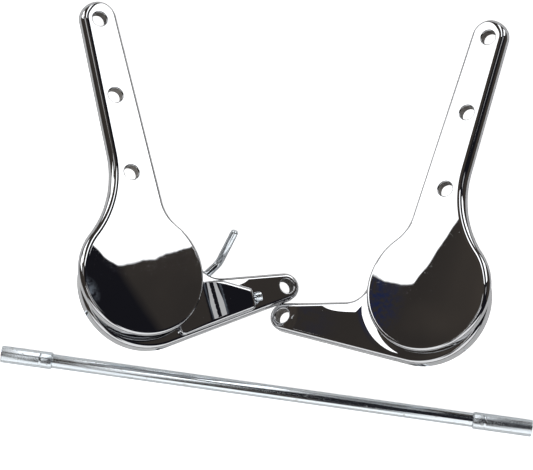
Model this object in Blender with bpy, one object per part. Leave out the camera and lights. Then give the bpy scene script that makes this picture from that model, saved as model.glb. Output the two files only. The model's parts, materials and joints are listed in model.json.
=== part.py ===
"""Pair of chrome-plated reclining seat hinges with their loose connecting rod.

The lever hinge carries the release lever; the plain hinge is its mirror image without one.
Both lie on their backs, standing on the two arm ends and the end of the lock shaft.
Every hinge piece is modelled in the hinge's own frame, in millimetres: the pivot axis is Z,
the outer face of the disc is at Z = 0, the back arm points along +Y and the seat arm along -X.
"""
import math

import bmesh
import bpy
from mathutils import Matrix, Vector

MM = 0.001

# Clearance kept between neighbouring pieces.
GAP = 0.3

# Back arm: a hollow disc with a flat arm that bolts to the backrest.
DISC_RADIUS = 48.0
ARM_THICKNESS = 8.0
EDGE_ROUND = 2.8
SHELL = 3.3
DISH_RADIUS = 44.2
ARM_END = Vector((-7.0, 201.0))
ARM_END_RADIUS = 14.2
ARM_INNER_TAPER = 2.3
ARM_OUTER_BLEND = 80.0
ARM_INNER_BLEND = 30.0
BOLT_HOLE_RADIUS = 5.5
BOLT_HOLE_CHAMFER = 0.7
BOLT_PITCH = 61.5
BOLT_COUNT = 3
BOLT_SETBACK = 1.0

# Seat arm: a shallow dish with an arm that bolts to the seat frame.
SEAT_DISC_CENTRE = Vector((-3.0, -6.5))
SEAT_DISC_RADIUS = 49.0
SEAT_THICKNESS = 9.5
SEAT_FLOOR = 3.5
SEAT_EDGE_ROUND = 3.2
SEAT_HOLE = Vector((-115.0, -27.5))
SEAT_END_RADIUS = 10.5
SEAT_TOP_SLOPE = 5.5
SEAT_TOP_BLEND = 16.0
SEAT_RECESS_CENTRE = Vector((-1.0, -2.5))
SEAT_RECESS_RADIUS = 40.0

# Toothed ring and the two pawls that lock into it.
TEETH = 48
RING_ROOT = 38.5
RING_TIP = 36.2
RING_TOP = -SHELL - GAP
RING_BOTTOM = -7.7
PAWL_HALF_WIDTH = 10.6
PAWL_INNER = 21.5
PAWL_NOSE = 18.5
PAWL_NOSE_HALF_WIDTH = 3.0
PAWL_BACKLASH = 0.4
PAWL_TOOTH_MARGIN = 0.6
PAWL_SHOULDER_DROP = 0.5
PAWL_TOP = -4.0
PAWL_BOTTOM = -8.0
GUIDE_RADIUS = 35.2
GUIDE_TOP = -3.7
GUIDE_BOTTOM = -8.1
GUIDE_BOSS_RADIUS = 4.2
RIVET_X = 24.0
RIVET_Y = 14.0
RIVET_RADIUS = 2.3
RIVET_HEAD_RADIUS = 4.2
RIVET_HEAD = 1.4

# Lock shaft, its cam and what holds it.
SHAFT_RADIUS = 5.1
SHAFT_FLANGE_RADIUS = 10.0
SHAFT_FLANGE_TOP = -3.7
SHAFT_FLANGE = 0.8
SQUARE = 10.4
SPLINE_RADIUS = 4.6
SPLINE_ROOT = 4.1
SPLINE_TEETH = 16
SPLINE_LENGTH = 26.0
SPLINE_CHAMFER = 0.7
SPLINE_LEAD = 0.8
SPLINE_RUNOUT = 1.4
SHAFT_BEHIND_SEAT = 51.0
CUP_RADIUS = 13.5
CUP_BOTTOM = -5.6
CUP_LIP = 0.8
CAM_TOP = -5.9
CAM_BOTTOM = -8.1
CAM_WAIST = 10.2
CAM_LOBE_SHARPNESS = 3
BUSH_RADIUS = 8.6
BUSH_FLANGE_RADIUS = 12.0
BUSH_FLANGE = 1.6
BUSH_RUNNING_FIT = 0.1
CIRCLIP_WIDTH = 2.6
CIRCLIP_THICKNESS = 1.2
CIRCLIP_OPENING = 25.0
SPRING_RADIUS = 9.4
SPRING_WIRE = 0.8
SPRING_TURNS = 3
SPRING_PITCH = 1.9
SPRING_TAIL = 22.0

# Release lever of the lever hinge.
LEVER_TOP = -8.4
LEVER_BOTTOM = -11.9
LEVER_PAD_TOP = -4.0
LEVER_DISC_RADIUS = 46.0
LEVER_EDGE_ROUND = 2.6
LEVER_DISC_EDGE = 1.2
LEVER_END_X = -84.5
LEVER_END_TOP = -26.0
LEVER_END_RISE = 2.0
LEVER_ROOT_X = -20.0
LEVER_ROOT_TOP = -12.0
LEVER_ROOT_DROP = 8.0
LEVER_SHOULDER = Vector((-62.0, -14.5))
LEVER_CORNER_RADII = (4.5, 4.0, 4.0, 24.0, 3.0)
LEVER_WINDOW_RADIUS = 27.8
LEVER_WINDOW_HALF = 5.2
LEVER_WINDOW_MARGIN = 12.0
LEVER_TRAVEL = 20.0
STUD_RADIUS = 3.8
STUD_NECK_RADIUS = 2.6
STUD_THREAD_ROOT = 3.1
STUD_PITCH = 1.25
STUD_Y = -32.8
STUD_Z = -8.0
STUD_OUT = 5.6
STUD_IN = 9.0
ROD_RADIUS = 3.0
ROD_BEND_RADIUS = 9.0
ROD_INSET = 0.8
HUB_RADIUS = 11.0
HUB_HEIGHT = 10.0
HUB_CLEARANCE = 4.0
HUB_CHAMFER = 1.0
HUB_PIN_RADIUS = 1.3

# Distance from the outer face down to the seat arm's face on each hinge.
SEAT_FACE = {"lever_hinge": -12.2, "plain_hinge": -9.5}
MIRROR = {"lever_hinge": -1, "plain_hinge": 1}

# Loose connecting rod.
TUBE_RADIUS = 5.4
TUBE_LENGTH = 405.8
SLEEVE_RADIUS = 6.5
SLEEVE_BORE = 4.9
SLEEVE_CHAMFER = 0.6
SLEEVE_BORE_CHAMFER = 0.4
SLEEVE_LENGTHS = (39.0, 45.0)
SPIGOT_RADIUS = 4.5
SPIGOT_LENGTH = 15.0
SLEEVE_PIN_RADIUS = 1.5
SLEEVE_PIN_INSET = 7.0
SLEEVE_PIN_SUNK = 0.2
BEND_STEPS = 6

# Where the pieces lie: heading in degrees, then X and Y.
LAYOUT = {
    "lever_hinge": (13.1, -90.5, -26.4),
    "plain_hinge": (-7.5, 117.5, -38.1),
    "connecting_rod": (-8.0, 0.0, -117.9),
}

# Recline angle each back arm rests at, in degrees about its pivot.
BACK_TURN = {"lever_hinge": 3.8, "plain_hinge": -6.0}

CHROME = ((0.78, 0.79, 0.80), 0.06, 1.0)
ZINC = ((0.56, 0.60, 0.66), 0.30, 1.0)
STEEL = ((0.42, 0.42, 0.43), 0.38, 1.0)
DARK_STEEL = ((0.10, 0.10, 0.11), 0.45, 1.0)
BRONZE = ((0.55, 0.38, 0.20), 0.35, 1.0)


def clear_scene():
    for old in list(bpy.data.objects):
        bpy.data.objects.remove(old, do_unlink=True)


def make_material(name, look):
    colour, roughness, metallic = look
    material = bpy.data.materials.new(name)
    material.use_nodes = True
    shader = material.node_tree.nodes["Principled BSDF"]
    shader.inputs["Base Color"].default_value = (*colour, 1.0)
    shader.inputs["Roughness"].default_value = roughness
    shader.inputs["Metallic"].default_value = metallic
    return material


def add_object(name, bm, parent, look, mirror=1):
    """Turn a bmesh in millimetres into a named object under its parent."""
    for vertex in bm.verts:
        vertex.co = Vector((vertex.co.x * mirror, vertex.co.y, vertex.co.z)) * MM
    bm.normal_update()
    bmesh.ops.recalc_face_normals(bm, faces=bm.faces)
    if bm.calc_volume(signed=True) < 0:
        bmesh.ops.reverse_faces(bm, faces=bm.faces)
    mesh = bpy.data.meshes.new(name)
    bm.to_mesh(mesh)
    bm.free()
    mesh.shade_smooth()
    mesh.set_sharp_from_angle(angle=math.radians(35))
    obj = bpy.data.objects.new(name, mesh)
    bpy.context.scene.collection.objects.link(obj)
    obj.parent = parent
    mesh.materials.append(make_material(name, look))
    return obj


def combine(obj, other, operation):
    """Cut a hidden shape out of an object, or join it on."""
    other.hide_render = True
    other.display_type = 'WIRE'
    modifier = obj.modifiers.new(other.name, 'BOOLEAN')
    modifier.operation = operation
    modifier.object = other
    modifier.solver = 'EXACT'


def arc(centre, radius, start, end, steps):
    """Points along an arc, both ends included, angles in degrees."""
    points = []
    for i in range(steps + 1):
        angle = math.radians(start + (end - start) * i / steps)
        points.append(Vector((centre[0] + radius * math.cos(angle), centre[1] + radius * math.sin(angle))))
    return points


def circle(centre, radius, steps):
    return arc(centre, radius, 0.0, 360.0, steps)[:-1]


def angle_of(vector):
    return math.degrees(math.atan2(vector.y, vector.x))


def blend_to_disc(end, end_radius, disc, disc_radius, normal, blend):
    """A straight side that leaves the end circle and meets the disc in a hollow curve.

    Returns the curve's centre; the side is the line whose outward normal is given.
    """
    offset = normal.dot(end) + end_radius + blend - normal.dot(disc)
    along = Vector((-normal.y, normal.x))
    if along.dot(end - disc) < 0:
        along = -along
    reach = math.sqrt((disc_radius + blend) ** 2 - offset ** 2)
    return disc + normal * offset + along * reach


def turned_down(angle, limit):
    """The same direction as an angle up to one turn below the limit."""
    return limit - (limit - angle) % 360.0


def turned_up(angle, limit):
    """The same direction as an angle up to one turn above the limit."""
    return limit + (angle - limit) % 360.0


def arm_outline(end, end_radius, disc, disc_radius, first, first_blend, last, last_blend, steps):
    """Outline of a disc with an arm, counter-clockwise from the arm's last side.

    first and last are the outward normals of the two straight sides.
    A blend of 0 means that the side runs straight onto the disc as a tangent.
    """
    disc_steps, blend_steps, end_steps = steps
    sides = []
    for normal, blend in ((first, first_blend), (last, last_blend)):
        if blend:
            centre = blend_to_disc(end, end_radius, disc, disc_radius, normal, blend)
            sides.append((centre, angle_of(centre - disc)))
        else:
            sides.append((None, angle_of(normal)))
    start = sides[1][1]
    finish = turned_up(sides[0][1], start)
    outline = arc(disc, disc_radius, start, finish, disc_steps)
    if first_blend:
        opening = finish + 180.0
        closing = turned_down(angle_of(-first), opening)
        outline += arc(sides[0][0], first_blend, opening, closing, blend_steps)[1:]
    begin = angle_of(first)
    outline += arc(end, end_radius, begin, turned_up(angle_of(last), begin), end_steps)
    if last_blend:
        opening = angle_of(-last)
        closing = turned_down(start + 180.0, opening)
        outline += arc(sides[1][0], last_blend, opening, closing, blend_steps)[:-1]
    return outline


def tangent_normal(end, end_radius, disc, disc_radius, side):
    """Outward normal of the straight line that touches both circles on one side."""
    span = disc - end
    lean = math.acos((end_radius - disc_radius) / span.length)
    direction = math.atan2(span.y, span.x) + side * lean
    return Vector((math.cos(direction), math.sin(direction)))


def rounded_polygon(corners, radii, steps):
    """A polygon, counter-clockwise, with each convex corner rounded by its own radius."""
    points = []
    count = len(corners)
    for i, corner in enumerate(corners):
        before = (corners[i - 1] - corner).normalized()
        after = (corners[(i + 1) % count] - corner).normalized()
        half = before.angle(after) / 2
        centre = corner + (before + after).normalized() * radii[i] / math.sin(half)
        start = angle_of(corner + before * radii[i] / math.tan(half) - centre)
        end = turned_up(angle_of(corner + after * radii[i] / math.tan(half) - centre), start)
        points += arc(centre, radii[i], start, end, steps)
    return points


def inset(outline, distance):
    """Move a counter-clockwise outline inwards."""
    if distance == 0:
        return list(outline)
    moved = []
    count = len(outline)
    for i, point in enumerate(outline):
        along = (outline[(i + 1) % count] - outline[i - 1]).normalized()
        moved.append(point + Vector((-along.y, along.x)) * distance)
    return moved


def stack(outline, levels):
    """A closed solid from one outline: levels are (height, inset) from the top down."""
    bm = bmesh.new()
    rings = []
    for height, distance in levels:
        points = inset(outline, distance)
        rings.append([bm.verts.new((p.x, p.y, height)) for p in points])
    bm.faces.new(rings[0])
    bm.faces.new(list(reversed(rings[-1])))
    bridge(bm, rings, False)
    return bm


def bridge(bm, rings, closed):
    """Join rings of vertices with quads, and the last to the first if closed."""
    pairs = list(zip(rings, rings[1:]))
    if closed:
        pairs.append((rings[-1], rings[0]))
    for upper, lower in pairs:
        count = len(upper)
        for i in range(count):
            j = (i + 1) % count
            bm.faces.new((upper[i], lower[i], lower[j], upper[j]))


def rounded_levels(top, bottom, radius, steps):
    """Levels of a plate whose upper edge is rounded over."""
    levels = []
    for i in range(steps + 1):
        angle = math.radians(90.0 * i / steps)
        levels.append((top - radius * (1 - math.cos(angle)), radius * (1 - math.sin(angle))))
    levels.append((bottom, 0.0))
    return levels


def ring_solid(outer, inner, top, bottom):
    """A flat ring between two outlines with the same number of points."""
    bm = bmesh.new()
    loops = []
    for outline, height in ((outer, top), (outer, bottom), (inner, bottom), (inner, top)):
        loops.append([bm.verts.new((p.x, p.y, height)) for p in outline])
    bridge(bm, loops, True)
    return bm


def lathe(profile, steps, centre=(0.0, 0.0)):
    """Turn a closed (radius, height) profile about Z; points at radius 0 become poles."""
    bm = bmesh.new()
    rings = []
    for radius, height in profile:
        if radius == 0:
            rings.append([bm.verts.new((centre[0], centre[1], height))])
        else:
            rings.append([bm.verts.new((p.x, p.y, height)) for p in circle(centre, radius, steps)])
    last = len(profile) if profile[0][0] > 0 else len(profile) - 1
    for k in range(last):
        upper = rings[k]
        lower = rings[(k + 1) % len(rings)]
        for i in range(steps):
            j = (i + 1) % steps
            if len(upper) == 1:
                bm.faces.new((upper[0], lower[i], lower[j]))
            elif len(lower) == 1:
                bm.faces.new((upper[i], lower[0], upper[j]))
            else:
                bm.faces.new((upper[i], lower[i], lower[j], upper[j]))
    return bm


def cylinder(radius, top, bottom, steps, centre=(0.0, 0.0)):
    return lathe([(0, top), (radius, top), (radius, bottom), (0, bottom)], steps, centre)


def bolt_cutter(radius, chamfer, top, bottom, centre, steps=24):
    """A through hole with a small chamfer at its top."""
    over = 1.0
    profile = [(0, top + over), (radius + chamfer + over, top + over)]
    profile += [(radius, top - chamfer), (radius, bottom - over), (0, bottom - over)]
    return lathe(profile, steps, centre)


def turn_onto_minus_x(bm, origin):
    """Lay a shape built along Z down along -X, with its base at the origin given."""
    bmesh.ops.rotate(bm, verts=bm.verts, cent=(0, 0, 0), matrix=Matrix.Rotation(math.radians(-90), 3, 'Y'))
    bmesh.ops.translate(bm, verts=bm.verts, vec=origin)
    return bm


def back_arm_outline(steps):
    outer = Vector((1.0, 0.0))
    inner_angle = math.radians(180.0 + ARM_INNER_TAPER)
    inner = Vector((math.cos(inner_angle), -math.sin(inner_angle)))
    return arm_outline(ARM_END, ARM_END_RADIUS, Vector((0.0, 0.0)), DISC_RADIUS,
                       outer, ARM_OUTER_BLEND, inner, ARM_INNER_BLEND, steps)


def seat_arm_outline(steps):
    top_angle = math.radians(90.0 + SEAT_TOP_SLOPE)
    top = Vector((math.cos(top_angle), math.sin(top_angle)))
    bottom = tangent_normal(SEAT_HOLE, SEAT_END_RADIUS, SEAT_DISC_CENTRE, SEAT_DISC_RADIUS, -1)
    return arm_outline(SEAT_HOLE, SEAT_END_RADIUS, SEAT_DISC_CENTRE, SEAT_DISC_RADIUS,
                       top, SEAT_TOP_BLEND, bottom, 0.0, steps)


def make_back_arm(side, frame):
    mirror = MIRROR[side]
    name = side + "_back_arm"
    outline = back_arm_outline((56, 8, 14))
    levels = rounded_levels(0.0, -ARM_THICKNESS, EDGE_ROUND, 3)
    arm = add_object(name, stack(outline, levels), frame, CHROME, mirror)
    dish = cylinder(DISH_RADIUS, -SHELL, -ARM_THICKNESS - 1.0, 56)
    combine(arm, add_object(name + "_dish_cut", dish, frame, CHROME, mirror), 'DIFFERENCE')
    for i in range(BOLT_COUNT):
        centre = (ARM_END.x, ARM_END.y - BOLT_SETBACK - BOLT_PITCH * i)
        hole = bolt_cutter(BOLT_HOLE_RADIUS, BOLT_HOLE_CHAMFER, 0.0, -ARM_THICKNESS, centre)
        cutter = add_object(f"{name}_hole_cut_{i + 1}", hole, frame, CHROME, mirror)
        combine(arm, cutter, 'DIFFERENCE')


def toothed_circle(root, tip, offset=0.0):
    """Zigzag teeth around a circle: one root and one tip point each."""
    points = []
    for i in range(TEETH):
        for share, radius in ((0.0, root), (0.5, tip)):
            angle = math.radians(360.0 * (i + share) / TEETH + offset)
            points.append(Vector((radius * math.cos(angle), radius * math.sin(angle))))
    return points


def make_tooth_ring(side, frame):
    outer = circle((0.0, 0.0), DISH_RADIUS - GAP, 2 * TEETH)
    inner = toothed_circle(RING_ROOT, RING_TIP)
    ring = ring_solid(outer, inner, RING_TOP, RING_BOTTOM)
    add_object(side + "_tooth_ring", ring, frame, STEEL, MIRROR[side])


def make_retaining_cup(side, frame):
    """Ring brazed under the disc; its lip holds the shaft's flange."""
    profile = [(SHAFT_FLANGE_RADIUS + GAP, RING_TOP), (CUP_RADIUS, RING_TOP), (CUP_RADIUS, CUP_BOTTOM)]
    lip_top = CUP_BOTTOM + CUP_LIP
    profile += [(SQUARE * 0.5 * math.sqrt(2) + GAP, CUP_BOTTOM), (SQUARE * 0.5 * math.sqrt(2) + GAP, lip_top)]
    profile += [(SHAFT_FLANGE_RADIUS + GAP, lip_top)]
    add_object(side + "_retaining_cup", lathe(profile, 32), frame, STEEL, MIRROR[side])


def make_pawl(side, frame, name, direction):
    """Sliding block with teeth on its outer end, drawn back clear of the ring."""
    retract = RING_ROOT - RING_TIP + PAWL_BACKLASH
    points = []
    for point in toothed_circle(RING_ROOT - retract, RING_TIP - retract):
        if abs(point.x) < PAWL_HALF_WIDTH - PAWL_TOOTH_MARGIN and point.y > 0:
            points.append(point)
    shoulder = math.sqrt((RING_TIP - retract) ** 2 - PAWL_HALF_WIDTH ** 2) - PAWL_SHOULDER_DROP
    outline = [Vector((-PAWL_HALF_WIDTH, PAWL_INNER)), Vector((-PAWL_NOSE_HALF_WIDTH, PAWL_INNER))]
    outline += [Vector((-PAWL_NOSE_HALF_WIDTH, PAWL_NOSE)), Vector((PAWL_NOSE_HALF_WIDTH, PAWL_NOSE))]
    outline += [Vector((PAWL_NOSE_HALF_WIDTH, PAWL_INNER)), Vector((PAWL_HALF_WIDTH, PAWL_INNER))]
    outline += [Vector((PAWL_HALF_WIDTH, shoulder))] + points + [Vector((-PAWL_HALF_WIDTH, shoulder))]
    turned = [p * direction for p in outline]
    block = stack(turned, [(PAWL_TOP, 0.0), (PAWL_BOTTOM, 0.0)])
    add_object(f"{side}_{name}", block, frame, DARK_STEEL, MIRROR[side])


def make_guide(side, frame, name, direction):
    """Segment that guides the pawls, with two bosses standing on the seat arm."""
    inner = PAWL_HALF_WIDTH + GAP
    spread = math.degrees(math.acos(inner / GUIDE_RADIUS))
    relief = CUP_RADIUS + GAP
    waist = math.degrees(math.acos(inner / relief))
    outline = arc((0.0, 0.0), GUIDE_RADIUS, -spread, spread, 16)
    outline += arc((0.0, 0.0), relief, waist, -waist, 8)
    outline = [p * direction for p in outline]
    guide = add_object(f"{side}_{name}", stack(outline, [(GUIDE_TOP, 0.0), (GUIDE_BOTTOM, 0.0)]),
                       frame, STEEL, MIRROR[side])
    foot = SEAT_FACE[side] + GAP
    for i, y in enumerate((RIVET_Y, -RIVET_Y)):
        centre = (RIVET_X * direction, y)
        boss = cylinder(GUIDE_BOSS_RADIUS, GUIDE_BOTTOM + 1.0, foot, 16, centre)
        combine(guide, add_object(f"{guide.name}_boss_{i + 1}", boss, frame, STEEL, MIRROR[side]), 'UNION')
    for i, y in enumerate((RIVET_Y, -RIVET_Y)):
        centre = (RIVET_X * direction, y)
        bore = cylinder(RIVET_RADIUS + GAP, GUIDE_TOP + 1.0, foot - 1.0, 12, centre)
        combine(guide, add_object(f"{guide.name}_bore_{i + 1}", bore, frame, STEEL, MIRROR[side]), 'DIFFERENCE')


def rivet_places():
    return [(x, y) for x in (-RIVET_X, RIVET_X) for y in (-RIVET_Y, RIVET_Y)]


def make_rivets(side, frame):
    back = SEAT_FACE[side] - SEAT_FLOOR
    for i, centre in enumerate(rivet_places()):
        profile = [(0, GUIDE_TOP - GAP), (RIVET_RADIUS, GUIDE_TOP - GAP), (RIVET_RADIUS, back - GAP)]
        profile += [(RIVET_HEAD_RADIUS, back - GAP), (RIVET_HEAD_RADIUS * 0.8, back - GAP - RIVET_HEAD)]
        profile += [(0, back - GAP - RIVET_HEAD * 1.2)]
        add_object(f"{side}_rivet_{i + 1}", lathe(profile, 12, centre), frame, STEEL, MIRROR[side])


def make_seat_arm(side, frame):
    mirror = MIRROR[side]
    name = side + "_seat_arm"
    face = SEAT_FACE[side]
    back = face - SEAT_THICKNESS
    levels = rounded_levels(face, back, SEAT_EDGE_ROUND, 3)
    arm = add_object(name, stack(seat_arm_outline((48, 6, 14)), levels), frame, CHROME, mirror)
    recess = cylinder(SEAT_RECESS_RADIUS, face - SEAT_FLOOR, back - 1.0, 48, SEAT_RECESS_CENTRE)
    combine(arm, add_object(name + "_recess_cut", recess, frame, CHROME, mirror), 'DIFFERENCE')
    hole = bolt_cutter(BOLT_HOLE_RADIUS, BOLT_HOLE_CHAMFER, face, back, SEAT_HOLE)
    combine(arm, add_object(name + "_hole_cut", hole, frame, CHROME, mirror), 'DIFFERENCE')
    bore = cylinder(BUSH_RADIUS + GAP, face + 1.0, face - SEAT_FLOOR - 1.0, 32)
    combine(arm, add_object(name + "_bore_cut", bore, frame, CHROME, mirror), 'DIFFERENCE')
    for i, centre in enumerate(rivet_places()):
        bore = cylinder(RIVET_RADIUS + GAP, face + 1.0, face - SEAT_FLOOR - 1.0, 12, centre)
        combine(arm, add_object(f"{name}_rivet_cut_{i + 1}", bore, frame, CHROME, mirror), 'DIFFERENCE')


def shaft_end(side):
    return SEAT_FACE[side] - SEAT_THICKNESS - SHAFT_BEHIND_SEAT


def make_shaft(side, frame):
    """Flanged shaft: a square for the cam and lever, a round journal and a serrated end."""
    end = shaft_end(side)
    spline_top = end + SPLINE_LENGTH
    square_bottom = SEAT_FACE[side] + GAP
    journal = [(0, SHAFT_FLANGE_TOP), (SHAFT_FLANGE_RADIUS, SHAFT_FLANGE_TOP)]
    flange_bottom = SHAFT_FLANGE_TOP - SHAFT_FLANGE
    journal += [(SHAFT_FLANGE_RADIUS, flange_bottom), (SHAFT_RADIUS, flange_bottom)]
    journal += [(SHAFT_RADIUS, spline_top + SPLINE_RUNOUT), (SPLINE_ROOT, spline_top), (0, spline_top)]
    shaft = add_object(side + "_lock_shaft", lathe(journal, 32), frame, ZINC, MIRROR[side])
    half = SQUARE / 2
    corners = [Vector((half, half)), Vector((-half, half)), Vector((-half, -half)), Vector((half, -half))]
    square = stack(corners, [(SHAFT_FLANGE_TOP - 0.4, 0.0), (square_bottom, 0.0)])
    combine(shaft, add_object(side + "_shaft_square", square, frame, ZINC, MIRROR[side]), 'UNION')
    teeth = []
    for i in range(SPLINE_TEETH):
        for share, radius in ((0.0, SPLINE_ROOT), (0.3, SPLINE_RADIUS), (0.7, SPLINE_RADIUS)):
            angle = math.radians(360.0 * (i + share) / SPLINE_TEETH)
            teeth.append(Vector((radius * math.cos(angle), radius * math.sin(angle))))
    levels = [(spline_top + 0.5, 0.0), (end + SPLINE_LEAD, 0.0), (end, SPLINE_CHAMFER)]
    spline = stack(teeth, levels)
    combine(shaft, add_object(side + "_shaft_spline", spline, frame, ZINC, MIRROR[side]), 'UNION')


def square_bore(name, frame, side, top, bottom):
    half = SQUARE / 2 + GAP
    corners = [Vector((half, half)), Vector((-half, half)), Vector((-half, -half)), Vector((half, -half))]
    return add_object(name, stack(corners, [(top, 0.0), (bottom, 0.0)]), frame, STEEL, MIRROR[side])


def make_cam(side, frame):
    """Two-lobed cam on the shaft's square; its lobes hold the pawls' noses out."""
    lobe = PAWL_NOSE - GAP - CAM_WAIST
    outline = []
    for point in circle((0.0, 0.0), 1.0, 40):
        swell = max(0.0, point.y ** 2 - point.x ** 2) ** CAM_LOBE_SHARPNESS
        outline.append(point * (CAM_WAIST + lobe * swell))
    cam = add_object(side + "_lock_cam", stack(outline, [(CAM_TOP, 0.0), (CAM_BOTTOM, 0.0)]),
                     frame, DARK_STEEL, MIRROR[side])
    bore = square_bore(side + "_cam_bore", frame, side, CAM_TOP + 1.0, CAM_BOTTOM - 1.0)
    combine(cam, bore, 'DIFFERENCE')


def make_bush(side, frame):
    """Flanged bearing bush in the seat arm's floor, flange to the rear."""
    top = SEAT_FACE[side]
    floor_back = top - SEAT_FLOOR
    bore = SHAFT_RADIUS + BUSH_RUNNING_FIT
    profile = [(bore, top), (BUSH_RADIUS, top), (BUSH_RADIUS, floor_back - GAP)]
    profile += [(BUSH_FLANGE_RADIUS, floor_back - GAP), (BUSH_FLANGE_RADIUS, floor_back - GAP - BUSH_FLANGE)]
    profile += [(bore, floor_back - GAP - BUSH_FLANGE)]
    add_object(side + "_bush", lathe(profile, 32), frame, BRONZE, MIRROR[side])


def bush_back(side):
    return SEAT_FACE[side] - SEAT_FLOOR - GAP - BUSH_FLANGE


def make_circlip(side, frame):
    """Open ring that keeps the shaft from pulling out of the bush."""
    top = bush_back(side) - GAP
    start, finish = CIRCLIP_OPENING, 360.0 - CIRCLIP_OPENING
    outline = arc((0.0, 0.0), SHAFT_RADIUS + CIRCLIP_WIDTH, start, finish, 20)
    outline += arc((0.0, 0.0), SHAFT_RADIUS + GAP, finish, start, 20)
    clip = stack(outline, [(top, 0.0), (top - CIRCLIP_THICKNESS, 0.0)])
    add_object(side + "_circlip", clip, frame, DARK_STEEL, MIRROR[side])


def make_return_spring(side, frame):
    """Coil that turns the lock shaft back, with a tail resting on a rivet head."""
    top = bush_back(side) - GAP - SPRING_WIRE
    steps_per_turn = 14
    curve = bpy.data.curves.new(side + "_return_spring", 'CURVE')
    curve.dimensions = '3D'
    curve.bevel_depth = SPRING_WIRE * MM
    curve.bevel_resolution = 1
    curve.use_fill_caps = True
    points = [(-SPRING_TAIL, -SPRING_RADIUS, top)]
    for i in range(SPRING_TURNS * steps_per_turn + 1):
        angle = 2 * math.pi * i / steps_per_turn - math.pi / 2
        height = top - SPRING_PITCH * i / steps_per_turn
        points.append((SPRING_RADIUS * math.cos(angle), SPRING_RADIUS * math.sin(angle), height))
    spline = curve.splines.new('POLY')
    spline.points.add(len(points) - 1)
    for target, point in zip(spline.points, points):
        target.co = (point[0] * MM * MIRROR[side], point[1] * MM, point[2] * MM, 1.0)
    spring = bpy.data.objects.new(side + "_return_spring", curve)
    bpy.context.scene.collection.objects.link(spring)
    spring.parent = frame
    curve.materials.append(make_material(spring.name, STEEL))


def lever_outline(steps):
    """Disc of the lever with its paddle, which ends square to carry the knob's stud."""
    seat_bottom = tangent_normal(SEAT_HOLE, SEAT_END_RADIUS, SEAT_DISC_CENTRE, SEAT_DISC_RADIUS, -1)
    drop = seat_bottom.dot(SEAT_HOLE) + SEAT_END_RADIUS
    lower_end = (drop - seat_bottom.x * LEVER_END_X) / seat_bottom.y
    corners = [Vector((LEVER_END_X, lower_end + LEVER_END_RISE))]
    corners += [Vector((LEVER_ROOT_X, lower_end - LEVER_ROOT_DROP)), Vector((LEVER_ROOT_X, LEVER_ROOT_TOP))]
    corners += [LEVER_SHOULDER, Vector((LEVER_END_X, LEVER_END_TOP))]
    return rounded_polygon(corners, LEVER_CORNER_RADII, steps)


def make_lever(frame):
    side = "lever_hinge"
    mirror = MIRROR[side]
    name = side + "_release_lever"
    paddle = stack(lever_outline(5), rounded_levels(LEVER_PAD_TOP, LEVER_BOTTOM, LEVER_EDGE_ROUND, 3))
    lever = add_object(name, paddle, frame, CHROME, mirror)
    clear = lathe([(0, 0.0), (DISC_RADIUS + 1.0, 0.0), (DISC_RADIUS + 1.0, LEVER_TOP), (0, LEVER_TOP)], 56)
    combine(lever, add_object(name + "_disc_clearance", clear, frame, CHROME, mirror), 'DIFFERENCE')
    levels = rounded_levels(LEVER_TOP, LEVER_BOTTOM, LEVER_DISC_EDGE, 2)
    disc = stack(circle((0.0, 0.0), LEVER_DISC_RADIUS, 56), levels)
    combine(lever, add_object(name + "_disc", disc, frame, CHROME, mirror), 'UNION')
    window_start = math.degrees(math.atan2(RIVET_Y, RIVET_X)) + LEVER_WINDOW_MARGIN
    window_end = window_start + LEVER_TRAVEL
    for i, middle in enumerate((0.0, 180.0)):
        outline = arc((0.0, 0.0), LEVER_WINDOW_RADIUS + LEVER_WINDOW_HALF,
                      middle - window_start, middle + window_end, 14)
        outline += arc((0.0, 0.0), LEVER_WINDOW_RADIUS - LEVER_WINDOW_HALF,
                       middle + window_end, middle - window_start, 14)
        window = stack(outline, [(LEVER_TOP + 1.0, 0.0), (LEVER_BOTTOM - 1.0, 0.0)])
        combine(lever, add_object(f"{name}_window_{i + 1}", window, frame, CHROME, mirror), 'DIFFERENCE')
    bore = square_bore(name + "_bore", frame, side, LEVER_TOP + 1.0, LEVER_BOTTOM - 1.0)
    combine(lever, bore, 'DIFFERENCE')
    socket = cylinder(STUD_NECK_RADIUS + GAP, 1.0, -STUD_IN - GAP, 16)
    turn_onto_minus_x(socket, (LEVER_END_X, STUD_Y, STUD_Z))
    combine(lever, add_object(name + "_stud_hole", socket, frame, CHROME, mirror), 'DIFFERENCE')


def make_knob_stud(frame):
    """Threaded stud in the end of the lever, for the knob to screw onto."""
    profile = [(0, STUD_OUT), (STUD_THREAD_ROOT, STUD_OUT)]
    threads = int((STUD_OUT - GAP) / STUD_PITCH)
    for i in range(threads):
        crest = STUD_OUT - STUD_PITCH * (i + 0.5)
        profile += [(STUD_RADIUS, crest), (STUD_THREAD_ROOT, crest - STUD_PITCH * 0.5)]
    profile += [(STUD_NECK_RADIUS, GAP), (STUD_NECK_RADIUS, -STUD_IN), (0, -STUD_IN)]
    stud = turn_onto_minus_x(lathe(profile, 18), (LEVER_END_X, STUD_Y, STUD_Z))
    add_object("lever_hinge_knob_stud", stud, frame, ZINC, MIRROR["lever_hinge"])


def rounded_path(corners, radius, steps):
    """A path through the corners with each bend rounded to the radius."""
    path = [corners[0]]
    for before, corner, after in zip(corners, corners[1:], corners[2:]):
        back = (before - corner).normalized()
        ahead = (after - corner).normalized()
        half = back.angle(ahead) / 2
        trim = radius / math.tan(half)
        start = corner + back * trim
        centre = corner + (back + ahead).normalized() * radius / math.sin(half)
        axis = (start - centre).cross(corner + ahead * trim - centre).normalized()
        sweep = math.pi - 2 * half
        for i in range(steps + 1):
            path.append(centre + Matrix.Rotation(sweep * i / steps, 3, axis) @ (start - centre))
    path.append(corners[-1])
    return path


def hub_top(side):
    return SEAT_FACE[side] - SEAT_THICKNESS - HUB_CLEARANCE


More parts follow.
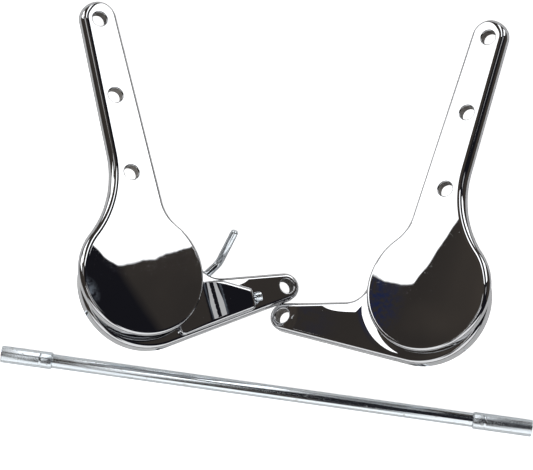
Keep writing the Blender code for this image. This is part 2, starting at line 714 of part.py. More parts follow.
def make_release_rod(frame):
    """Bent round rod from the hub on the shaft, past the seat arm and outwards."""
    side = "lever_hinge"
    level = hub_top(side) - HUB_HEIGHT / 2
    corners = [Vector((-SHAFT_RADIUS - ROD_INSET, -0.6, level)), Vector((-60.0, -4.6, level + 1.6))]
    corners += [Vector((-71.5, 2.0, level + 5.0)), Vector((-81.5, 19.0, -1.5))]
    path = rounded_path(corners, ROD_BEND_RADIUS, BEND_STEPS)
    name = side + "_release_rod"
    curve = bpy.data.curves.new(name, 'CURVE')
    curve.dimensions = '3D'
    curve.bevel_depth = ROD_RADIUS * MM
    curve.bevel_resolution = 4
    curve.use_fill_caps = True
    spline = curve.splines.new('POLY')
    spline.points.add(len(path) - 1)
    for target, point in zip(spline.points, path):
        target.co = (point.x * MM * MIRROR[side], point.y * MM, point.z * MM, 1.0)
    rod = bpy.data.objects.new(name, curve)
    bpy.context.scene.collection.objects.link(rod)
    rod.parent = frame
    curve.materials.append(make_material(name, ZINC))


def make_hub(frame):
    """Collar that carries the release rod, cross-pinned to the shaft."""
    side = "lever_hinge"
    mirror = MIRROR[side]
    top = hub_top(side)
    middle = top - HUB_HEIGHT / 2
    bore = SHAFT_RADIUS + GAP
    rim = HUB_RADIUS - HUB_CHAMFER
    profile = [(bore, top), (rim, top), (HUB_RADIUS, top - HUB_CHAMFER)]
    profile += [(HUB_RADIUS, top - HUB_HEIGHT + HUB_CHAMFER), (rim, top - HUB_HEIGHT)]
    profile += [(bore, top - HUB_HEIGHT)]
    hub = add_object(side + "_rod_hub", lathe(profile, 32), frame, ZINC, mirror)
    rod_hole = turn_onto_minus_x(cylinder(ROD_RADIUS + GAP, HUB_RADIUS + 3.0, 0.0, 20), (0.0, -0.8, middle))
    combine(hub, add_object("hub_rod_hole", rod_hole, frame, ZINC, mirror), 'DIFFERENCE')
    pin = cylinder(HUB_PIN_RADIUS, HUB_RADIUS + 1.0, -HUB_RADIUS - 1.0, 12)
    bmesh.ops.rotate(pin, verts=pin.verts, cent=(0, 0, 0), matrix=Matrix.Rotation(math.radians(90), 3, 'X'))
    bmesh.ops.translate(pin, verts=pin.verts, vec=(0, 0, middle))
    hole = cylinder(HUB_PIN_RADIUS + GAP, HUB_RADIUS + 3.0, -HUB_RADIUS - 3.0, 12)
    bmesh.ops.rotate(hole, verts=hole.verts, cent=(0, 0, 0), matrix=Matrix.Rotation(math.radians(90), 3, 'X'))
    bmesh.ops.translate(hole, verts=hole.verts, vec=(0, 0, middle))
    add_object(side + "_hub_pin", pin, frame, STEEL, mirror)
    cutter = add_object("hub_pin_hole", hole, frame, ZINC, mirror)
    combine(hub, cutter, 'DIFFERENCE')
    combine(bpy.data.objects[side + "_lock_shaft"], cutter, 'DIFFERENCE')


def lay_along_x(bm):
    bmesh.ops.rotate(bm, verts=bm.verts, cent=(0, 0, 0), matrix=Matrix.Rotation(math.radians(90), 3, 'Y'))
    return bm


def make_connecting_rod(frame):
    """Plain rod with a pinned socket sleeve on each end, lying along X."""
    left = -TUBE_LENGTH / 2 + SLEEVE_LENGTHS[0]
    right = TUBE_LENGTH / 2 - SLEEVE_LENGTHS[1]
    profile = [(0, right + SPIGOT_LENGTH), (SPIGOT_RADIUS, right + SPIGOT_LENGTH), (SPIGOT_RADIUS, right - GAP)]
    profile += [(TUBE_RADIUS, right - GAP), (TUBE_RADIUS, left + GAP), (SPIGOT_RADIUS, left + GAP)]
    profile += [(SPIGOT_RADIUS, left - SPIGOT_LENGTH), (0, left - SPIGOT_LENGTH)]
    rod = add_object("connecting_rod", lay_along_x(lathe(profile, 32)), frame, ZINC)
    for end, inner, sign in (("left", left, -1), ("right", right, 1)):
        outer_end = sign * TUBE_LENGTH / 2
        edge = SLEEVE_CHAMFER * sign
        profile = [(SLEEVE_BORE, inner), (SLEEVE_RADIUS - SLEEVE_CHAMFER, inner), (SLEEVE_RADIUS, inner + edge)]
        profile += [(SLEEVE_RADIUS, outer_end - edge), (SLEEVE_RADIUS - SLEEVE_CHAMFER, outer_end)]
        profile += [(SLEEVE_BORE + SLEEVE_BORE_CHAMFER, outer_end), (SLEEVE_BORE, outer_end - edge)]
        sleeve = add_object(f"connecting_rod_{end}_sleeve", lay_along_x(lathe(profile, 32)), frame, ZINC)
        place = (inner + sign * SLEEVE_PIN_INSET, 0.0)
        length = SLEEVE_RADIUS - SLEEVE_PIN_SUNK
        pin = cylinder(SLEEVE_PIN_RADIUS, length, -length, 12, place)
        add_object(f"connecting_rod_{end}_pin", pin, frame, STEEL)
        reach = SLEEVE_RADIUS + 2.0
        hole = cylinder(SLEEVE_PIN_RADIUS + GAP, reach, -reach, 12, place)
        cutter = add_object(f"{end}_pin_hole", hole, frame, ZINC)
        combine(sleeve, cutter, 'DIFFERENCE')
        combine(rod, cutter, 'DIFFERENCE')


def up_on_supports(supports):
    """Local up direction and height of a body that stands on three circles.

    Each support is (centre, radius).
    """
    up = Vector((0.0, 0.0, 1.0))
    for _ in range(30):
        flat = Vector((up.x, up.y, 0.0))
        lowest = -flat.normalized() if flat.length > 0 else Vector((0.0, 0.0, 0.0))
        first, second, third = [centre + lowest * radius for centre, radius in supports]
        up = (second - first).cross(third - first).normalized()
        if up.z < 0:
            up = -up
    return up, -up.dot(first)


def resting_matrix(side):
    """Matrix that lays a hinge on its two arm ends and the end of its shaft."""
    mirror = MIRROR[side]
    end = Matrix.Rotation(math.radians(BACK_TURN[side]), 2) @ ARM_END
    supports = [
        (Vector((end.x * mirror, end.y, -ARM_THICKNESS)), ARM_END_RADIUS),
        (Vector((SEAT_HOLE.x * mirror, SEAT_HOLE.y, SEAT_FACE[side] - SEAT_THICKNESS)), SEAT_END_RADIUS),
        (Vector((0.0, 0.0, shaft_end(side))), SPLINE_RADIUS - SPLINE_CHAMFER),
    ]
    up, height = up_on_supports(supports)
    tilt = up.rotation_difference(Vector((0.0, 0.0, 1.0))).to_matrix().to_4x4()
    heading, x, y = LAYOUT[side]
    turn = Matrix.Rotation(math.radians(heading), 4, 'Z')
    return Matrix.Translation(Vector((x, y, height)) * MM) @ turn @ tilt


def add_frame(name, matrix):
    frame = bpy.data.objects.new(name, None)
    bpy.context.scene.collection.objects.link(frame)
    frame.matrix_world = matrix
    return frame


def add_back_frame(side, frame):
    """Empty on the pivot that carries the back arm at its recline angle."""
    turn = math.radians(BACK_TURN[side]) * MIRROR[side]
    back_frame = add_frame(side + "_back_frame", Matrix.Rotation(turn, 4, 'Z'))
    back_frame.parent = frame
    return back_frame


def centre_on_origin(frames):
    """Move everything so that the bottom centre of the whole set is the origin."""
    bpy.context.view_layer.update()
    graph = bpy.context.evaluated_depsgraph_get()
    corners = []
    for obj in bpy.data.objects:
        if obj.type in {'MESH', 'CURVE'} and not obj.hide_render:
            shape = obj.evaluated_get(graph)
            mesh = shape.to_mesh()
            corners += [shape.matrix_world @ vertex.co for vertex in mesh.vertices]
            shape.to_mesh_clear()
    low = [min(corner[axis] for corner in corners) for axis in range(3)]
    high = [max(corner[axis] for corner in corners) for axis in range(3)]
    shift = Vector(((low[0] + high[0]) / 2, (low[1] + high[1]) / 2, low[2]))
    for frame in frames:
        frame.location -= shift


def make_hinge(side):
    frame = add_frame(side + "_frame", resting_matrix(side))
    back_frame = add_back_frame(side, frame)
    make_back_arm(side, back_frame)
    make_tooth_ring(side, back_frame)
    make_retaining_cup(side, back_frame)
    make_pawl(side, frame, "upper_pawl", 1)
    make_pawl(side, frame, "lower_pawl", -1)
    make_guide(side, frame, "outer_guide", 1)
    make_guide(side, frame, "inner_guide", -1)
    make_rivets(side, frame)
    make_seat_arm(side, frame)
    make_shaft(side, frame)
    make_cam(side, frame)
    make_bush(side, frame)
    make_circlip(side, frame)
    make_return_spring(side, frame)
    return frame


def main():
    clear_scene()
    lever_frame = make_hinge("lever_hinge")
    make_lever(lever_frame)
    make_knob_stud(lever_frame)
    make_hub(lever_frame)
    make_release_rod(lever_frame)
    plain_frame = make_hinge("plain_hinge")
    heading, x, y = LAYOUT["connecting_rod"]
    place = Matrix.Translation(Vector((x, y, SLEEVE_RADIUS)) * MM)
    rod_frame = add_frame("connecting_rod_frame", place @ Matrix.Rotation(math.radians(heading), 4, 'Z'))
    make_connecting_rod(rod_frame)
    centre_on_origin([lever_frame, plain_frame, rod_frame])


main()
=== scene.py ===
import json
import math

import bmesh
import bpy
from mathutils import Matrix, Vector, kdtree
from mathutils.geometry import delaunay_2d_cdt


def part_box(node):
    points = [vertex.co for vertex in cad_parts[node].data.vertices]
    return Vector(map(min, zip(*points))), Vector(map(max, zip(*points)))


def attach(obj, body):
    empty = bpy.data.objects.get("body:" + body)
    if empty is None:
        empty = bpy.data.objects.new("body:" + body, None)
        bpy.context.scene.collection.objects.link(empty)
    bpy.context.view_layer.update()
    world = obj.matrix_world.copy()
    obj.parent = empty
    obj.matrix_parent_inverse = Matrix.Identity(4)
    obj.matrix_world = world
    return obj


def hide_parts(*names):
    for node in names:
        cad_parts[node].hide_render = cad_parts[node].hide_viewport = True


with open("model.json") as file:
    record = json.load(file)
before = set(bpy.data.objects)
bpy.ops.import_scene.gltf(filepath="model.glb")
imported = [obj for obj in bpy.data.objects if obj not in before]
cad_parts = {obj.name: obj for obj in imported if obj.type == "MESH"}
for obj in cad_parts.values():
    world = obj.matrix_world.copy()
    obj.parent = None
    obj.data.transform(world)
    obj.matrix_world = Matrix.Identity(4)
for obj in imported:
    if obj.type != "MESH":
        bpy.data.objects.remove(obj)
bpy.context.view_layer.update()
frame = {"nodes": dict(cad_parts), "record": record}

# Lengths are in millimetres in each piece's own frame, and MM turns them into metres.
MM = 0.001

# Back arm: pivot axis along Z, outer face at Z = 0, arm towards +Y.
DISC_RADIUS = 48.0
ARM_THICKNESS = 8.0
ARM_END = Vector((-7.0, 201.0))
ARM_END_RADIUS = 14.2
ARM_INNER_TAPER = 2.3
ARM_OUTER_BLEND = 80.0
ARM_INNER_BLEND = 30.0
BOLT_HOLE_RADIUS = 5.5
BOLT_PITCH = 61.5
BOLT_COUNT = 3
BOLT_SETBACK = 1.0
HOLE_LIP = 1.0
SMALL_LIP = 0.3
DISH_RADIUS = 44.2
SHELL = 3.3
ARM_EDGE = 2.8
ARM_OUTER_EDGE = 6.0
OUTER_EDGE_START = Vector((-14.0, -12.0))
OUTER_EDGE_BLEND = Vector((18.0, 34.0))
CROWN = 1.2
CROWN_START = {"lever_hinge": 0.0, "plain_hinge": -8.0}
GRID = 2.4
FOOT = 0.25
PLATE_FOOT = 0.4
BORE_MARGIN = 0.1
BACK_TURN = {"lever_hinge": 3.8, "plain_hinge": -6.0}

# Seat arm.
SEAT_DISC_CENTRE = Vector((-3.0, -6.5))
SEAT_DISC_RADIUS = 49.0
SEAT_THICKNESS = 9.5
SEAT_FLOOR = 3.5
SEAT_EDGE = 3.2
SEAT_HOLE = Vector((-115.0, -27.5))
SEAT_END_RADIUS = 10.5
SEAT_TOP_SLOPE = 5.5
SEAT_TOP_BLEND = 16.0
SEAT_RECESS_CENTRE = Vector((-1.0, -2.5))
SEAT_RECESS_RADIUS = 40.0
SEAT_FACE = {"lever_hinge": -12.2, "plain_hinge": -9.5}
RIVET_X = 24.0
RIVET_Y = 14.0
RIVET_RADIUS = 2.3
RIVET_HEAD_RADIUS = 4.2
RIVET_HEAD = 1.4
GUIDE_TOP = -3.7
EDGE_CROWN = 0.25
EDGE_CROWN_WIDTH = 11.0
EDGE_CROWN_START = -100.0
EDGE_CROWN_BLEND = 45.0
FLARE = 1.0
FLARE_START = 59.5
FLARE_END = 46.5
FLARE_FOOT = 8.0
PAD_CENTRE = Vector((-134.0, -27.0))
PAD_RADIUS = 27.5
PAD_WIDTH = 8.0
PAD_STEP = 0.65

# Shaft, bush, spring and release gear.
SHAFT_RADIUS = 5.1
SHAFT_FLANGE_RADIUS = 10.0
SHAFT_FLANGE_TOP = -3.7
SHAFT_FLANGE = 0.8
SQUARE = 10.4
SPLINE_RADIUS = 4.6
SPLINE_ROOT = 4.1
SPLINE_TEETH = 16
SPLINE_LENGTH = 26.0
SPLINE_CHAMFER = 0.7
SHAFT_BEHIND_SEAT = 51.0
BUSH_RADIUS = 8.6
BUSH_FLANGE_RADIUS = 12.0
BUSH_FLANGE = 1.6
SPRING_RADIUS = 9.4
SPRING_WIRE = 0.8
SPRING_TURNS = 3
SPRING_PITCH = 1.9
SPRING_TAIL = 22.0
GAP = 0.3
PIVOT_DEPTH = 8.0
LEVER_TOP = -8.4
LEVER_BOTTOM = -11.9
LEVER_DISC_RADIUS = 46.0
LEVER_DISC_EDGE = 1.0
LEVER_EDGE = 3.2
LEVER_EDGE_START = 50.0
LEVER_EDGE_BLEND = 16.0
LEVER_END_X = -84.5
LEVER_END_TOP = -26.0
LEVER_END_RISE = 2.0
LEVER_ROOT_X = -20.0
LEVER_ROOT_TOP = -12.0
LEVER_ROOT_DROP = 8.0
LEVER_SHOULDER = Vector((-62.0, -14.5))
LEVER_CORNER_RADII = (4.5, 4.0, 4.0, 24.0, 4.0)
LEVER_STEP_START = 45.0
LEVER_STEP_WIDTH = 8.0
LEVER_STEEPEST = 0.22
LEVER_CLIMB = 0.05
LEVER_WINDOW_RADIUS = 27.8
LEVER_WINDOW_HALF = 5.2
LEVER_WINDOW_MARGIN = 12.0
LEVER_TRAVEL = 20.0
STUD_RADIUS = 3.8
STUD_ROOT = 3.2
STUD_NECK = 2.6
STUD_PITCH = 1.25
STUD_Y = -32.8
STUD_Z = -8.0
STUD_OUT = 5.6
STUD_FADE = 0.9
STUD_TIP_THREAD = 0.25
STUD_CHAMFER = 0.7
ROD_RADIUS = 3.0
ROD_INSET = 0.8
ROD_START_Y = -0.6
ROD_BENDS = ((-60.0, -4.6, 1.6), (-71.5, 2.0, 5.0))
ROD_TIP = Vector((-81.5, 19.0, -1.5))
ROD_BEND_RADIUS = 9.0
DOME = 0.6
HUB_HEIGHT = 10.0
HUB_CLEARANCE = 4.0

# Connecting rod.
TUBE_RADIUS = 5.4
TUBE_LENGTH = 405.8
SLEEVE_RADIUS = 6.5
SLEEVE_BORE = 4.9
SLEEVE_LENGTHS = (39.0, 45.0)
SPIGOT_RADIUS = 4.5
SPIGOT_LENGTH = 15.0
ROD_HEADING = -8.0
SLEEVE_GROOVE_INSET = 9.0
SLEEVE_GROOVE_HALF = 0.7
SLEEVE_GROOVE_DEPTH = 0.25

# Studio. Cards lie at an X and Y of the direction towards them. The right card's values count from the
# direction that the lever hinge reflects straight up, the left and far cards' from the plain hinge's.
CAMERA_HEIGHT = 1.976
CAMERA_BEHIND_ROD = 0.1179
CAMERA_LENS = 175.6
FLOOR_HALF = 6.0
BOARD_RADIUS = 0.40
BOARD_FADE = 0.03
FAR_FLOOR = (0.04, 0.036, 0.034)
FLOOR_GLOW = 0.9
WALL = (0.93, 0.93, 0.935)
CARD_LIGHT = 2.4
FRONT_LIGHT = 1.25
GREY_LIGHT = 0.70
CARD_SOFT = 0.0004
CARD_RAGGED = 0.004
RIGHT_CARD = (-0.069, 0.003)
RIGHT_CARD_SLOPES = (-0.06, -0.27)
RIGHT_CARD_ENDS = (-0.140, 0.085)
LEFT_CARD = (0.024, -0.0014)
LEFT_CARD_SLOPES = (0.08, 0.48)
LEFT_CARD_ENDS = (-0.085, 0.142)
FAR_CARD = ((-0.260, -0.050), (-0.164, 0.036))
GREY_CARDS = ((0.34, 0.48), (-0.50, -0.32))
GREY_CARD_HEIGHTS = ((0.40, 0.515), (0.44, 0.555))
NIGHT_SLOPE = -0.705
FRONT_CARD = 0.35
STRIP_HALF = 0.15
STRIP_SIDE_FADE = 0.03
STRIP_START = 0.55
STRIP_SLANT = 7.0
STRIP_FADE = 0.25
STRIP_NOTCH = (0.36, 0.60)
STRIP_GAP_END = 0.72
STRIP_GAP_FADE = 0.04
KEY_PLACE = (-0.7, -0.5, 1.7)
KEY_SIZE = (1.6, 1.2)
KEY_POWER = 12.0
GLOWS = (((0.505, 0.520), 0.040, (0.22, 0.25, 0.29)),
         ((-0.700, 0.530), 0.080, (0.02, 0.03, 0.09)))

MIRROR = {"lever_hinge": -1, "plain_hinge": 1}
BODY = {"lever_hinge": "lever", "plain_hinge": "plain"}


# ---------------------------------------------------------------- materials

class Graph:
    """A node tree with short ways to add and join nodes."""

    def __init__(self, tree):
        self.tree = tree

    def node(self, kind, **settings):
        node = self.tree.nodes.new(kind)
        for key, value in settings.items():
            if key in node.inputs:
                node.inputs[key].default_value = value
            else:
                setattr(node, key, value)
        return node

    def join(self, output, target):
        self.tree.links.new(output, target)

    def feed(self, socket, value):
        """Link an output to a socket, or set the socket to a constant."""
        if isinstance(value, bpy.types.NodeSocket):
            self.join(value, socket)
        else:
            socket.default_value = (*value, 1.0) if socket.type == 'RGBA' else value

    def coordinates(self, scale=(1.0, 1.0, 1.0), turn=(0.0, 0.0, 0.0)):
        """The piece's own coordinates, turned and then stretched along each axis."""
        place = self.node("ShaderNodeTexCoord")
        turned = self.node("ShaderNodeVectorRotate", rotation_type='EULER_XYZ')
        self.join(place.outputs["Object"], turned.inputs["Vector"])
        turned.inputs["Rotation"].default_value = turn
        return self.vector('MULTIPLY', turned.outputs["Vector"], scale)

    def noise(self, vector, scale, detail=3.0, rough=0.5):
        node = self.node("ShaderNodeTexNoise", Scale=scale, Detail=detail, Roughness=rough)
        self.join(vector, node.inputs["Vector"])
        return node.outputs["Fac"]

    def ramp(self, value, low, high, low_to=0.0, high_to=1.0):
        """Move a value from one range to another, held at both ends."""
        limits = {"From Min": low, "From Max": high, "To Min": low_to, "To Max": high_to}
        node = self.node("ShaderNodeMapRange", **limits)
        self.join(value, node.inputs["Value"])
        return node.outputs["Result"]

    def math(self, operation, first, second):
        node = self.node("ShaderNodeMath", operation=operation)
        self.feed(node.inputs[0], first)
        self.feed(node.inputs[1], second)
        return node.outputs[0]

    def vector(self, operation, first, second=(0.0, 0.0, 0.0), result="Vector"):
        node = self.node("ShaderNodeVectorMath", operation=operation)
        self.feed(node.inputs[0], first)
        self.feed(node.inputs[1], second)
        return node.outputs[result]

    def mix_colour(self, factor, first, second):
        node = self.node("ShaderNodeMix", data_type='RGBA')
        self.join(factor, node.inputs[0])
        self.feed(node.inputs[6], first)
        self.feed(node.inputs[7], second)
        return node.outputs[2]


class Look(Graph):
    """A material with a Principled shader, bump and scratches."""

    def __init__(self, name, metallic=1.0):
        self.material = bpy.data.materials.new(name)
        self.material.use_nodes = True
        super().__init__(self.material.node_tree)
        self.shader = self.tree.nodes["Principled BSDF"]
        self.shader.inputs["Metallic"].default_value = metallic
        self.bump_normal = None

    def drive(self, name, value):
        self.join(value, self.shader.inputs[name])

    def bump(self, height, distance, strength=1.0):
        node = self.node("ShaderNodeBump", Distance=distance, Strength=strength)
        self.join(height, node.inputs["Height"])
        if self.bump_normal is not None:
            self.join(self.bump_normal, node.inputs["Normal"])
        self.bump_normal = node.outputs["Normal"]
        self.drive("Normal", self.bump_normal)

    def scratches(self, turn, across, along, scarcity):
        """Sparse fine lines that run along the turned X axis."""
        lines = self.noise(self.coordinates((along, across, across), turn), 1.0, 2.0, 0.6)
        return self.ramp(lines, scarcity, scarcity + 0.05)


def chrome(name):
    """Polished chrome plate: slight waviness, hairline scratches, specks and a faint haze."""
    look = Look(name)
    own = look.coordinates()
    haze = look.noise(own, 55.0, 4.0)
    fine = look.scratches((0.2, 0.3, 0.6), 2600.0, 60.0, 0.73)
    cross = look.scratches((0.1, -0.2, -0.9), 2900.0, 70.0, 0.74)
    hairlines = look.math('MAXIMUM', fine, cross)
    specks = look.ramp(look.noise(own, 900.0, 1.0), 0.76, 0.80)
    wear = look.math('MAXIMUM', hairlines, specks)
    tint = look.mix_colour(haze, (0.560, 0.570, 0.590), (0.595, 0.600, 0.610))
    look.drive("Base Color", look.mix_colour(wear, tint, (0.48, 0.49, 0.50)))
    rough = look.ramp(haze, 0.35, 0.75, 0.004, 0.012)
    look.drive("Roughness", look.math('ADD', rough, look.math('MULTIPLY', wear, 0.05)))
    look.bump(look.noise(own, 28.0, 1.0), 0.00003)
    look.bump(hairlines, 0.0000015, 0.6)
    return look.material


def zinc(name, scale, turn, smoothest, roughest):
    """Bright zinc plate with drawing lines along one direction and a bluish bloom."""
    look = Look(name)
    own = look.coordinates()
    lines = look.noise(look.coordinates(scale, turn), 1.0, 3.0, 0.6)
    bloom = look.noise(own, 42.0, 3.0)
    stains = look.ramp(look.noise(own, 260.0, 2.0), 0.62, 0.72)
    tint = look.mix_colour(bloom, (0.72, 0.79, 0.85), (0.78, 0.81, 0.83))
    dull = look.mix_colour(look.math('MULTIPLY', stains, 0.5), tint, (0.46, 0.47, 0.44))
    drawn = look.ramp(lines, 0.56, 0.68, 0.0, 0.35)
    look.drive("Base Color", look.mix_colour(drawn, dull, (0.42, 0.47, 0.52)))
    rough = look.ramp(lines, 0.3, 0.7, smoothest, roughest)
    look.drive("Roughness", look.math('ADD', rough, look.math('MULTIPLY', stains, 0.12)))
    look.bump(lines, 0.00002, 0.7)
    look.bump(look.noise(own, 900.0, 2.0), 0.000006, 0.5)
    return look.material


def machined(name, light, dark, low, high):
    """Turned or cut metal: fine tool lines, a thin oil film and small dark stains."""
    look = Look(name)
    own = look.coordinates()
    lines = look.noise(look.coordinates((300.0, 300.0, 4200.0)), 1.0, 2.0)
    stains = look.ramp(look.noise(own, 150.0, 4.0), 0.45, 0.75)
    look.drive("Base Color", look.mix_colour(stains, light, dark))
    rough = look.ramp(lines, 0.3, 0.7, low, high)
    look.drive("Roughness", look.math('ADD', rough, look.math('MULTIPLY', stains, 0.10)))
    look.bump(lines, 0.00001, 0.6)
    return look.material


# ---------------------------------------------------------------- outlines

def unit(degrees):
    angle = math.radians(degrees)
    return Vector((math.cos(angle), math.sin(angle)))


def arc(centre, radius, start, end, steps, side=1.0):
    """(point, outward normal) pairs along an arc, angles in degrees; side -1 for a hollow."""
    pairs = []
    for i in range(steps + 1):
        out = unit(start + (end - start) * i / steps)
        pairs.append((Vector(centre) + out * radius, out * side))
    return pairs


def circle(centre, radius, steps):
    return arc(centre, radius, 0.0, 360.0, steps)[:-1]


def angle_of(vector):
    return math.degrees(math.atan2(vector.y, vector.x))


def turned_down(angle, limit):
    return limit - (limit - angle) % 360.0


def turned_up(angle, limit):
    return limit + (angle - limit) % 360.0


def join_pairs(chains, spacing):
    """Run chains of pairs together, with extra pairs along the straight lines between them."""
    outline = []
    for i, chain in enumerate(chains):
        outline += chain
        start, normal = chain[-1]
        finish = chains[(i + 1) % len(chains)][0][0]
        count = int((finish - start).length / spacing)
        for k in range(1, count):
            outline.append((start.lerp(finish, k / count), normal))
    tidy = []
    for pair in outline:
        if not tidy or (pair[0] - tidy[-1][0]).length > 0.05:
            tidy.append(pair)
    if (tidy[0][0] - tidy[-1][0]).length < 0.05:
        tidy.pop()
    return tidy


def blend_to_disc(end, end_radius, disc, disc_radius, normal, blend):
    """Centre of the hollow curve between a straight side and the disc."""
    offset = normal.dot(end) + end_radius + blend - normal.dot(disc)
    along = Vector((-normal.y, normal.x))
    if along.dot(end - disc) < 0:
        along = -along
    reach = math.sqrt((disc_radius + blend) ** 2 - offset ** 2)
    return disc + normal * offset + along * reach


def arm_outline(end, end_radius, disc, disc_radius, first, first_blend, last, last_blend):
    """Disc with an arm, counter-clockwise; a blend of 0 is a straight tangent side."""
    sides = []
    for normal, blend in ((first, first_blend), (last, last_blend)):
        if blend:
            centre = blend_to_disc(end, end_radius, disc, disc_radius, normal, blend)
            sides.append((centre, angle_of(centre - disc)))
        else:
            sides.append((None, angle_of(normal)))
    start = sides[1][1]
    finish = turned_up(sides[0][1], start)
    chains = [arc(disc, disc_radius, start, finish, 150)]
    if first_blend:
        opening = finish + 180.0
        chains.append(arc(sides[0][0], first_blend, opening,
                          turned_down(angle_of(-first), opening), 40, -1.0))
    begin = angle_of(first)
    chains.append(arc(end, end_radius, begin, turned_up(angle_of(last), begin), 48))
    if last_blend:
        opening = angle_of(-last)
        chains.append(arc(sides[1][0], last_blend, opening,
                          turned_down(start + 180.0, opening), 40, -1.0))
    return join_pairs(chains, 3.0)


def tangent_normal(end, end_radius, disc, disc_radius, side):
    span = disc - end
    lean = math.acos((end_radius - disc_radius) / span.length)
    direction = math.atan2(span.y, span.x) + side * lean
    return Vector((math.cos(direction), math.sin(direction)))


def back_arm_outline():
    inner = unit(-180.0 - ARM_INNER_TAPER)
    return arm_outline(ARM_END, ARM_END_RADIUS, Vector((0.0, 0.0)), DISC_RADIUS,
                       Vector((1.0, 0.0)), ARM_OUTER_BLEND, inner, ARM_INNER_BLEND)


def seat_bottom_normal():
    return tangent_normal(SEAT_HOLE, SEAT_END_RADIUS, SEAT_DISC_CENTRE, SEAT_DISC_RADIUS, -1)


def seat_arm_outline():
    return arm_outline(SEAT_HOLE, SEAT_END_RADIUS, SEAT_DISC_CENTRE, SEAT_DISC_RADIUS,
                       unit(90.0 + SEAT_TOP_SLOPE), SEAT_TOP_BLEND, seat_bottom_normal(), 0.0)


def rounded_polygon(corners, radii, steps):
    """A counter-clockwise polygon with each convex corner rounded."""
    chains = []
    count = len(corners)
    for i, corner in enumerate(corners):
        before = (corners[i - 1] - corner).normalized()
        after = (corners[(i + 1) % count] - corner).normalized()
        half = before.angle(after) / 2
        centre = corner + (before + after).normalized() * radii[i] / math.sin(half)
        start = angle_of(corner + before * radii[i] / math.tan(half) - centre)
        end = turned_up(angle_of(corner + after * radii[i] / math.tan(half) - centre), start)
        chains.append(arc(centre, radii[i], start, end, steps))
    return join_pairs(chains, 2.0)


def square_outline(half, radius, steps):
    corners = [Vector((half, half)), Vector((-half, half)), Vector((-half, -half)), Vector((half, -half))]
    return rounded_polygon(corners, (radius,) * 4, steps)


# ---------------------------------------------------------------- solids

UP = Vector((0.0, 0.0, 1.0))


class Shell:
    """A closed mesh built from patches, with the true normal kept at every corner."""

    def __init__(self):
        self.points = []
        self.faces = []
        self.normals = []

    def ring(self, pairs, height, distance=0.0):
        """Add an outline moved inwards by a distance; returns its (index, normal) list."""
        distances = distance if isinstance(distance, list) else [distance] * len(pairs)
        added = []
        for (point, out), inwards in zip(pairs, distances):
            spot = point - out * inwards
            z = height(spot.x, spot.y) if callable(height) else height
            self.points.append(Vector((spot.x, spot.y, z)))
            added.append((len(self.points) - 1, out))
        return added

    def wall(self, upper, lower, upper_tilt, lower_tilt, flip=False):
        """Quads between two rings; a tilt is the normal's angle from straight up."""
        count = len(upper)
        for i in range(count):
            j = (i + 1) % count
            corners = [(upper[i], upper_tilt), (lower[i], lower_tilt),
                       (lower[j], lower_tilt), (upper[j], upper_tilt)]
            if flip:
                corners.reverse()
            face = []
            normals = []
            for (index, out), tilt in corners:
                face.append(index)
                if isinstance(tilt, dict):
                    normals.append(tilt[index])
                else:
                    angle = math.radians(tilt)
                    sideways = -out if flip else out
                    normals.append(Vector((sideways.x * math.sin(angle), sideways.y * math.sin(angle),
                                           math.cos(angle))))
            self.faces.append(face)
            self.normals.append(normals)

    def cap(self, outer, holes, upward, height=None, slope=None, extra=()):
        """Fill between an outer ring and holes, with extra (x, y) points on the surface."""
        loops = [outer] + holes
        indices = [index for loop in loops for index, _ in loop]
        borders = []
        start = 0
        for loop in loops:
            borders.append(list(range(start, start + len(loop))))
            start += len(loop)
        flat = [self.points[index].xy for index in indices]
        for x, y in extra:
            self.points.append(Vector((x, y, height(x, y))))
            indices.append(len(self.points) - 1)
            flat.append(Vector((x, y)))
        result = delaunay_2d_cdt(flat, [], borders, 2, 1e-5)
        origin = [indices[sources[0]] for sources in result[3]]
        for triangle in result[2]:
            face = [origin[k] for k in triangle]
            if not upward:
                face.reverse()
            self.faces.append(face)
            normals = []
            for index in face:
                spot = self.points[index]
                if slope is None:
                    normals.append(UP.copy() if upward else -UP)
                else:
                    lean = slope(spot.x, spot.y)
                    normals.append(Vector((-lean[0], -lean[1], 1.0)).normalized())
            self.normals.append(normals)

    def build(self, name, mirror=1):
        faces = self.faces
        normals = self.normals
        if mirror < 0:
            faces = [list(reversed(face)) for face in faces]
            normals = [list(reversed(corner)) for corner in normals]
        mesh = bpy.data.meshes.new(name)
        mesh.from_pydata([(p.x * mirror * MM, p.y * MM, p.z * MM) for p in self.points], [], faces)
        mesh.shade_smooth()
        flat = [(n.x * mirror, n.y, n.z) for corner in normals for n in corner]
        mesh.normals_split_custom_set(flat)
        mesh.validate(clean_customdata=False)
        obj = bpy.data.objects.new(name, mesh)
        bpy.context.scene.collection.objects.link(obj)
        return obj


def surface_grid(outline, spacing, margin):
    """Points on a triangular grid inside an outline, clear of every border point."""
    xs = [point.x for point in outline[0]]
    ys = [point.y for point in outline[0]]
    borders = [point for loop in outline for point in loop]
    near = kdtree.KDTree(len(borders))
    for i, point in enumerate(borders):
        near.insert((point.x, point.y, 0.0), i)
    near.balance()
    rows = []
    y = min(ys) + spacing * 0.5
    odd = False
    while y < max(ys):
        crossings = []
        previous = outline[0][-1]
        for point in outline[0]:
            if (point.y > y) != (previous.y > y):
                share = (y - point.y) / (previous.y - point.y)
                crossings.append(point.x + (previous.x - point.x) * share)
            previous = point
        crossings.sort()
        x = min(xs) + (spacing * 0.5 if odd else 0.0)
        while x < max(xs):
            within = sum(1 for crossing in crossings if crossing < x) % 2 == 1
            if within and near.find((x, y, 0.0))[2] > margin:
                rows.append((x, y))
            x += spacing
        y += spacing * 0.866
        odd = not odd
    return rows


